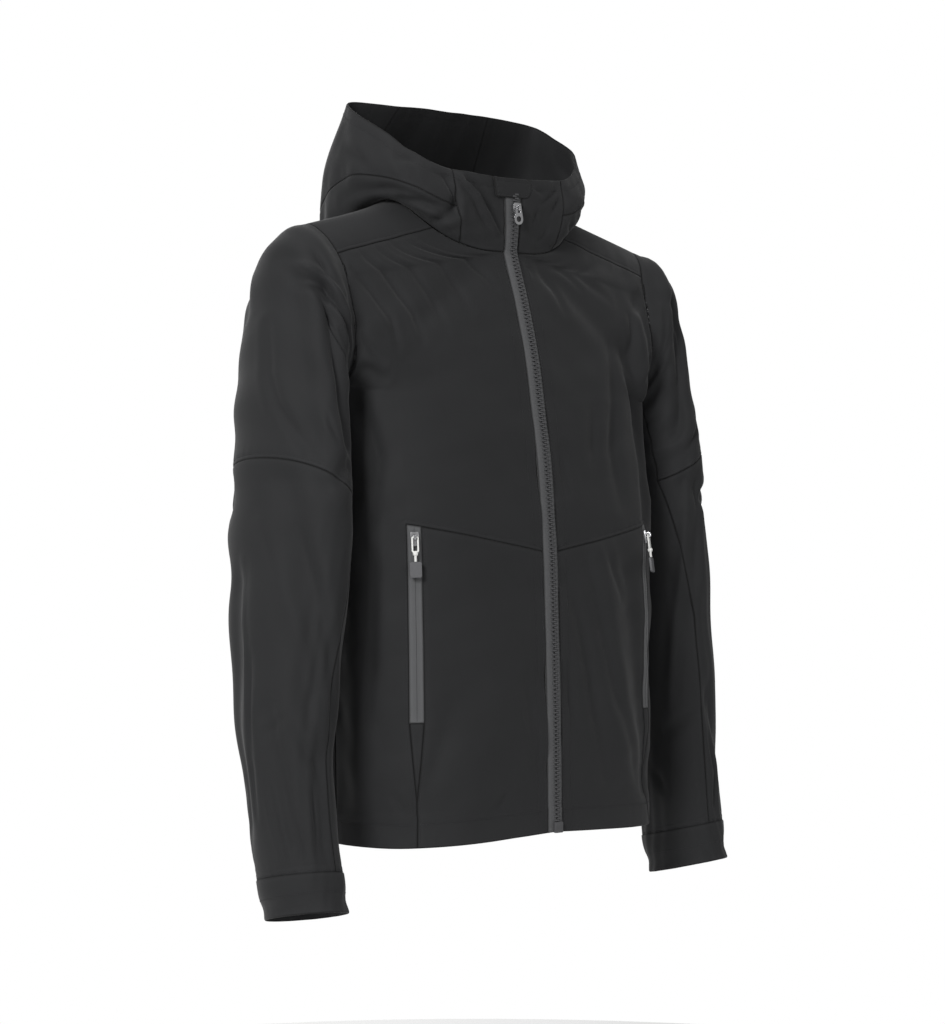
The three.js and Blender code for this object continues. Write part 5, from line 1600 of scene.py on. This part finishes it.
def shades(colour, low, high):
    return tuple(c * low for c in colour), tuple(c * high for c in colour)


def cloth_material(name, colour, threads, grain_size, roughness, sheen, depth):
    """Woven or knitted cloth: fine threads, uneven tone, rubbed seams with painted shade in their grooves,
    on its own map.
    """
    material, shader = fresh_material(name, colour, roughness, sheen=sheen)
    tree = material.node_tree
    place = tree.nodes.new("ShaderNodeUVMap")
    place.uv_map = "cloth"
    seam = tree.nodes.new("ShaderNodeAttribute")
    seam.attribute_name = "seam"
    weave = group_in(material, "weave", weave_group, {"Threads per metre": threads})
    tone = group_in(material, "mottle", mottle_group, {"Large": 16.0, "Small": grain_size})
    wear = group_in(material, "wear", seam_wear_group, {"Amount": 0.5})
    tree.links.new(place.outputs["UV"], weave.inputs["Place"])
    tree.links.new(place.outputs["UV"], tone.inputs["Place"])
    tree.links.new(seam.outputs["Fac"], wear.inputs["Seam"])
    tree.links.new(tone.outputs["Grain"], wear.inputs["Grain"])
    dark, light = shades(colour, 0.78, 1.24)
    base = mix_colours(tree, tone.outputs["Tone"], dark, light)
    grain_dark, grain_light = shades(colour, 0.7, 1.35)
    grain = mix_colours(tree, tone.outputs["Grain"], grain_dark, grain_light)
    melange = mix_colours(tree, 0.4, base, grain)
    worn = mix_colours(tree, wear.outputs["Mask"], melange, tuple(min(1.0, c * 2.0) for c in colour))
    # painted shade: a narrow dark line along every seam and edge, standing in for the shade in the seam's
    # groove
    painted_seam_shade = math_node(tree, "POWER", seam.outputs["Fac"], 6.0)
    shaded = mix_colours(tree, painted_seam_shade, worn, tuple(c * 0.22 for c in colour))
    tree.links.new(shaded, shader.inputs["Base Color"])
    rough = tree.nodes.new("ShaderNodeMapRange")
    rough.inputs["To Min"].default_value = roughness - 0.08
    rough.inputs["To Max"].default_value = min(1.0, roughness + 0.06)
    tree.links.new(tone.outputs["Grain"], rough.inputs["Value"])
    tree.links.new(rough.outputs["Result"], shader.inputs["Roughness"])
    rise = math_node(tree, "MULTIPLY_ADD", tone.outputs["Grain"], 0.8, weave.outputs["Height"])
    bump(material, shader, rise, depth, 0.6)
    return material


def hard_material(name, colour, roughness, metallic, grain_size, depth):
    """Moulded, cast or polished parts: fine grain, uneven gloss and small dents, on object places."""
    material, shader = fresh_material(name, colour, roughness, metallic)
    tree = material.node_tree
    place = tree.nodes.new("ShaderNodeTexCoord")
    tone = group_in(material, "mottle", mottle_group, {"Large": 240.0, "Small": grain_size})
    tree.links.new(place.outputs["Object"], tone.inputs["Place"])
    dark, light = shades(colour, 0.82, 1.15)
    tree.links.new(mix_colours(tree, tone.outputs["Tone"], dark, light), shader.inputs["Base Color"])
    rough = tree.nodes.new("ShaderNodeMapRange")
    rough.inputs["To Min"].default_value = max(0.05, roughness - 0.1)
    rough.inputs["To Max"].default_value = min(1.0, roughness + 0.12)
    tree.links.new(tone.outputs["Tone"], rough.inputs["Value"])
    tree.links.new(rough.outputs["Result"], shader.inputs["Roughness"])
    bump(material, shader, tone.outputs["Grain"], depth, 0.4)
    return material


FINISHES = {}


def finish(name):
    """The finish of that name, made from the colours of the panel when it is first asked for."""
    if name in FINISHES:
        return FINISHES[name]
    colours = bpy.context.scene.jacket_colours
    cloth_facts = {
        "softshell": (colours.softshell, 1500, 900, 0.8, 0.1, 0.00006),
        "fleece_and_shade": (colours.fleece_and_shade, 700, 260, 0.95, 0.25, 0.0003),
        "zip_tape": (colours.tape, 2200, 1200, 0.8, 0.2, 0.00012),
    }
    hard_facts = {
        "thread": (colours.thread, 0.7, 0.0, 3000, 0.00005),
        "teeth": (colours.teeth, 0.38, 0.0, 1500, 0.00003),
        "metal": (colours.metal, 0.2, 1.0, 900, 0.00002),
        "dark_metal": (colours.dark_metal, 0.32, 1.0, 900, 0.00003),
        "cord": (colours.cord, 0.75, 0.0, 1800, 0.0001),
        "tab": (colours.tab, 0.55, 0.0, 1200, 0.00005),
    }
    if name in cloth_facts:
        colour, *rest = cloth_facts[name]
        FINISHES[name] = cloth_material(name, tuple(colour), *rest)
    else:
        colour, *rest = hard_facts[name]
        FINISHES[name] = hard_material(name, tuple(colour), *rest)
    return FINISHES[name]


def dress(piece, *names):
    piece.data.materials.clear()
    for name in names:
        piece.data.materials.append(finish(name))


# Settings, operators and panel


class JacketColours(bpy.types.PropertyGroup):
    """The jacket's colours."""

    softshell: bpy.props.FloatVectorProperty(
        name="Softshell", description="Outer face of the cloth", subtype="COLOR",
        default=(0.0148, 0.0151, 0.0160), min=0, max=1)
    # Darker than the softshell: partly the fleece's own tone, partly painted shade for the shaded inside
    # of the hood.
    fleece_and_shade: bpy.props.FloatVectorProperty(
        name="Fleece", description="Inner face of the cloth", subtype="COLOR",
        default=(0.0105, 0.0105, 0.0112), min=0, max=1)
    tape: bpy.props.FloatVectorProperty(
        name="Zip tape", description="Knitted tape of the zips", subtype="COLOR",
        default=(0.085, 0.086, 0.089), min=0, max=1)
    thread: bpy.props.FloatVectorProperty(
        name="Thread", description="Sewing thread", subtype="COLOR",
        default=(0.014, 0.014, 0.016), min=0, max=1)
    teeth: bpy.props.FloatVectorProperty(
        name="Teeth", description="Moulded teeth of the main zip", subtype="COLOR",
        default=(0.062, 0.062, 0.065), min=0, max=1)
    metal: bpy.props.FloatVectorProperty(
        name="Polished metal", description="Main slider and its pull", subtype="COLOR",
        default=(0.5, 0.5, 0.51), min=0, max=1)
    dark_metal: bpy.props.FloatVectorProperty(
        name="Dark metal", description="Sliders of the pockets", subtype="COLOR",
        default=(0.35, 0.35, 0.36), min=0, max=1)
    cord: bpy.props.FloatVectorProperty(
        name="Cord", description="Cord loops of the pocket pulls", subtype="COLOR",
        default=(0.75, 0.75, 0.73), min=0, max=1)
    tab: bpy.props.FloatVectorProperty(
        name="Tab", description="Moulded tabs of the pocket pulls", subtype="COLOR",
        default=(0.09, 0.09, 0.095), min=0, max=1)
    floor: bpy.props.FloatVectorProperty(
        name="Floor", description="Plain floor under the jacket", subtype="COLOR",
        default=(0.93, 0.93, 0.93), min=0, max=1)


class JacketSizes(bpy.types.PropertyGroup):
    """The jacket's sewing sizes."""

    stitch_pitch: bpy.props.FloatProperty(
        name="Stitch pitch", description="Distance from one stitch to the next", unit="LENGTH",
        default=0.0030, min=0.001, max=0.01)
    stitch_length: bpy.props.FloatProperty(
        name="Stitch length", description="Length of thread that shows", unit="LENGTH",
        default=0.0024, min=0.0005, max=0.01)
    stitch_width: bpy.props.FloatProperty(
        name="Thread width", description="Thickness of the sewing thread", unit="LENGTH",
        default=0.00055, min=0.0001, max=0.002)
    tooth_pitch: bpy.props.FloatProperty(
        name="Tooth pitch", description="Distance between teeth of the two sides", unit="LENGTH",
        default=0.0021, min=0.001, max=0.01)


class JACKET_OT_stage(bpy.types.Operator):
    """Make the camera, the soft studio lights and the plain floor"""

    bl_idname = "jacket.stage"
    bl_label = "Studio stage"

    def execute(self, context):
        make_stage(context.scene)
        return {"FINISHED"}


class JACKET_OT_body(bpy.types.Operator):
    """Sew the fronts, the yokes and the back"""

    bl_idname = "jacket.body"
    bl_label = "Body"

    def execute(self, context):
        made = [back_panel()]
        for side, name in SIDES:
            made += [chest_panel(side, name), lower_front(side, name), shoulder_yoke(side, name)]
        for piece in made:
            dress(piece, "softshell", "fleece_and_shade")
        return {"FINISHED"}


class JACKET_OT_pockets(bpy.types.Operator):
    """Set the pocket zips and the wedges below them into the fronts"""

    bl_idname = "jacket.pockets"
    bl_label = "Pockets"

    def execute(self, context):
        for side, name in SIDES:
            strip, wedge = pocket_pieces(side, name)
            dress(strip, "zip_tape", "zip_tape")
            dress(wedge, "softshell", "fleece_and_shade")
        return {"FINISHED"}


class JACKET_OT_hood(bpy.types.Operator):
    """Sew the folded hood and the collar fronts"""

    bl_idname = "jacket.hood"
    bl_label = "Hood and collar"

    def execute(self, context):
        for piece in hood_pieces():
            dress(piece, "softshell", "fleece_and_shade")
        return {"FINISHED"}


class JACKET_OT_sleeves(bpy.types.Operator):
    """Sew both sleeves with their cuffs"""

    bl_idname = "jacket.sleeves"
    bl_label = "Sleeves"

    def execute(self, context):
        for piece in sleeve_pieces():
            dress(piece, "softshell", "fleece_and_shade")
        return {"FINISHED"}


class JACKET_OT_main_zip(bpy.types.Operator):
    """Make the main zip's tapes and teeth and the guard over its top"""

    bl_idname = "jacket.main_zip"
    bl_label = "Main zip"

    def execute(self, context):
        for piece in zip_tapes():
            dress(piece, "zip_tape", "zip_tape")
        dress(chin_guard(), "softshell", "fleece_and_shade")
        main_teeth(context.scene.jacket_sizes)
        return {"FINISHED"}


class JACKET_OT_pulls(bpy.types.Operator):
    """Finish the sliders and pulls"""

    bl_idname = "jacket.pulls"
    bl_label = "Sliders and pulls"

    def execute(self, context):
        finish_pulls()
        return {"FINISHED"}


class JACKET_OT_stitching(bpy.types.Operator):
    """Lay the stitch rows along the seams and hems"""

    bl_idname = "jacket.stitching"
    bl_label = "Stitching"

    def execute(self, context):
        sew_rows(context.scene.jacket_sizes)
        return {"FINISHED"}


OPERATORS = (
    JACKET_OT_stage, JACKET_OT_body, JACKET_OT_pockets, JACKET_OT_hood, JACKET_OT_sleeves,
    JACKET_OT_main_zip, JACKET_OT_pulls, JACKET_OT_stitching,
)


class JACKET_PT_panel(bpy.types.Panel):
    """Lists the jacket's pieces and settings"""

    bl_idname = "JACKET_PT_panel"
    bl_label = "Jacket"
    bl_space_type = "VIEW_3D"
    bl_region_type = "UI"
    bl_category = "Jacket"

    def draw(self, context):
        layout = self.layout
        for group in (context.scene.jacket_sizes, context.scene.jacket_colours):
            for key in group.__annotations__:
                layout.prop(group, key)
        for operator in OPERATORS:
            layout.operator(operator.bl_idname)


CLASSES = (JacketColours, JacketSizes, *OPERATORS, JACKET_PT_panel)


TEETH_LIFT = 0.0011      # in metres, above the tape
THREAD_LIFT = 0.0001     # in metres, above the cloth
TEETH_FOOT = 0.25        # body row where the teeth begin


def main_teeth(sizes):
    stations_up = zip_stations(3.0, TEETH_FOOT, GUARD_FOOT + 0.05)
    points = front_rows(stations_up, np.array([TEETH_AT]))[:, 0]
    ways = front_rows(stations_up, np.array([TEETH_AT]), 1.0)[:, 0] - points
    path = list(zip(points.tolist(), ways.tolist()))
    teeth = along_paths("zip_teeth_row", [path], tooth_unit(), sizes.tooth_pitch, TEETH_LIFT,
                        finish("teeth"), alternate=True, smooth_faces=False)
    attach(teeth, "garment")
    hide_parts("zip_teeth")


def sew_rows(sizes):
    unit = stitch_unit(sizes.stitch_length, sizes.stitch_width)
    thread = along_paths("stitching", STITCH_PATHS, unit, sizes.stitch_pitch, THREAD_LIFT,
                         finish("thread"))
    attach(thread, "garment")
    unit = stitch_unit(COIL_PITCH * COIL_LOOP * MM, COIL_WIDTH * MM)
    coil = along_paths("pocket_zip_middles", CENTRE_PATHS, unit, COIL_PITCH * MM, 0.0, finish("thread"))
    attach(coil, "garment")


# Hard parts: the solid that each follows, its body, finish, record slot and edge rounding in mm
HARD_PARTS = (
    ("zip_slider", "garment", "metal", "zip_metal", 0.55),
    ("zip_pull", "main_pull", "metal", "zip_metal", 0.4),
    ("zip_bottom_box", "garment", "teeth", "zip_teeth", 0.5),
    ("pocket_slider_right", "garment", "dark_metal", "slider_dark", 0.5),
    ("pocket_slider_left", "garment", "dark_metal", "slider_dark", 0.5),
    ("pocket_loop_right", "pocket_pull_right", "cord", "pull_cord", 0.3),
    ("pocket_loop_left", "pocket_pull_left", "cord", "pull_cord", 0.3),
    ("pocket_tab_right", "pocket_pull_right", "tab", "pull_tab", 0.55),
    ("pocket_tab_left", "pocket_pull_left", "tab", "pull_tab", 0.55),
)


def rounded_part(node, body, finish_name, slot, radius):
    """A solid of the part with its flat faces joined and its sharp edges rounded."""
    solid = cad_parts[node]
    place = solid.matrix_world

    def build(work):
        work.from_mesh(solid.data)
        bmesh.ops.transform(work, matrix=place, verts=work.verts)
        bmesh.ops.remove_doubles(work, verts=work.verts, dist=0.02 * MM)
        bmesh.ops.dissolve_limit(work, angle_limit=math.radians(4), verts=work.verts, edges=work.edges)
        sharp = [
            edge for edge in work.edges
            if len(edge.link_faces) == 2 and edge.calc_face_angle(0) > math.radians(32)
        ]
        bmesh.ops.bevel(work, geom=sharp, offset=radius * MM, segments=3, profile=0.6,
                        affect="EDGES", clamp_overlap=True)

    part = bmesh_object(f"{node}_round", build)
    part.data.polygons.foreach_set("use_smooth", np.ones(len(part.data.polygons), dtype=bool))
    part.data.set_sharp_from_angle(angle=math.radians(38))
    dress(part, finish_name)
    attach(part, body)
    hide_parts(node)
    return part


def finish_pulls():
    for facts in HARD_PARTS:
        rounded_part(*facts)


# Camera, lights and floor

VIEW_TURN = math.radians(40)
CAMERA_DISTANCE = 2.73
CAMERA_HEIGHT = -0.315
CAMERA_ASIDE = 0.009
LENS = 91.4
FLOOR_HEIGHT = -1.12
FLOOR_RADIUS = 1.4
SKY_SEEN = 1.0           # brightness of the plain background
SKY_LIT = 0.42           # and of the light that it gives


def aim(thing, place, target):
    thing.location = place
    thing.rotation_euler = (Vector(target) - Vector(place)).to_track_quat("-Z", "Y").to_euler()


def add_light(name, place, target, size, power):
    data = bpy.data.lights.new(name, "AREA")
    data.shape = "SQUARE"
    data.size = size
    data.energy = power
    lamp = bpy.data.objects.new(name, data)
    bpy.context.scene.collection.objects.link(lamp)
    aim(lamp, place, target)


def make_stage(scene):
    along = Vector((math.sin(VIEW_TURN), math.cos(VIEW_TURN), 0))
    right = Vector((math.cos(VIEW_TURN), -math.sin(VIEW_TURN), 0))
    target = Vector((0, 0, CAMERA_HEIGHT)) - right * CAMERA_ASIDE
    data = bpy.data.cameras.new("camera")
    data.sensor_fit = "VERTICAL"
    data.sensor_height = 36
    data.lens = LENS
    camera = bpy.data.objects.new("camera", data)
    scene.collection.objects.link(camera)
    aim(camera, target - along * CAMERA_DISTANCE, target)
    scene.camera = camera
    scene.view_settings.view_transform = "Standard"
    middle = (0, 0, -0.3)
    key_place = target - along * 2.3 - right * 1.2 + Vector((0, 0, 1.3))
    fill_place = target - along * 2.4 + right * 1.9 + Vector((0, 0, 0.5))
    behind_place = target + along * 2.2 - right * 1.2 + Vector((0, 0, 1.2))
    add_light("key", key_place, middle, size=0.8, power=62)
    add_light("fill", fill_place, middle, size=2.0, power=10)
    add_light("above", (0.1, 0.2, 2.2), middle, size=1.4, power=14)
    add_light("behind", behind_place, middle, size=1.8, power=26)
    world = bpy.data.worlds.new("studio")
    scene.world = world
    world.use_nodes = True
    tree = world.node_tree
    tree.nodes.clear()
    output = tree.nodes.new("ShaderNodeOutputWorld")
    seen = tree.nodes.new("ShaderNodeBackground")
    seen.inputs["Strength"].default_value = SKY_SEEN
    seen.inputs["Color"].default_value = (1, 1, 1, 1)
    lit = tree.nodes.new("ShaderNodeBackground")
    lit.inputs["Color"].default_value = (1, 1, 1, 1)
    lit.inputs["Strength"].default_value = SKY_LIT
    ray = tree.nodes.new("ShaderNodeLightPath")
    mix = tree.nodes.new("ShaderNodeMixShader")
    tree.links.new(ray.outputs["Is Camera Ray"], mix.inputs[0])
    tree.links.new(lit.outputs[0], mix.inputs[1])
    tree.links.new(seen.outputs[0], mix.inputs[2])
    tree.links.new(mix.outputs[0], output.inputs["Surface"])

    def build(work):
        bmesh.ops.create_circle(work, cap_ends=True, segments=96, radius=FLOOR_RADIUS)
        bmesh.ops.translate(work, vec=(0, 0, FLOOR_HEIGHT), verts=work.verts)

    floor = bmesh_object("floor", build)
    floor.data.materials.append(floor_material())


def floor_material():
    colour = tuple(bpy.context.scene.jacket_colours.floor)
    material, shader = fresh_material("floor", colour, 0.7)
    tree = material.node_tree
    place = tree.nodes.new("ShaderNodeTexCoord")
    tone = group_in(material, "mottle", mottle_group, {"Large": 2.0, "Small": 60.0})
    tree.links.new(place.outputs["Object"], tone.inputs["Place"])
    low, high = shades(colour, 0.985, 1.015)
    tree.links.new(mix_colours(tree, tone.outputs["Tone"], low, high), shader.inputs["Base Color"])
    return material


def register():
    for cls in CLASSES:
        bpy.utils.register_class(cls)
    bpy.types.Scene.jacket_colours = bpy.props.PointerProperty(type=JacketColours)
    bpy.types.Scene.jacket_sizes = bpy.props.PointerProperty(type=JacketSizes)


def unregister():
    del bpy.types.Scene.jacket_sizes
    del bpy.types.Scene.jacket_colours
    for cls in reversed(CLASSES):
        bpy.utils.unregister_class(cls)


def main():
    register()
    for operator in OPERATORS:
        family, name = operator.bl_idname.split(".")
        getattr(getattr(bpy.ops, family), name)()
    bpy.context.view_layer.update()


if __name__ == "__main__":
    main()
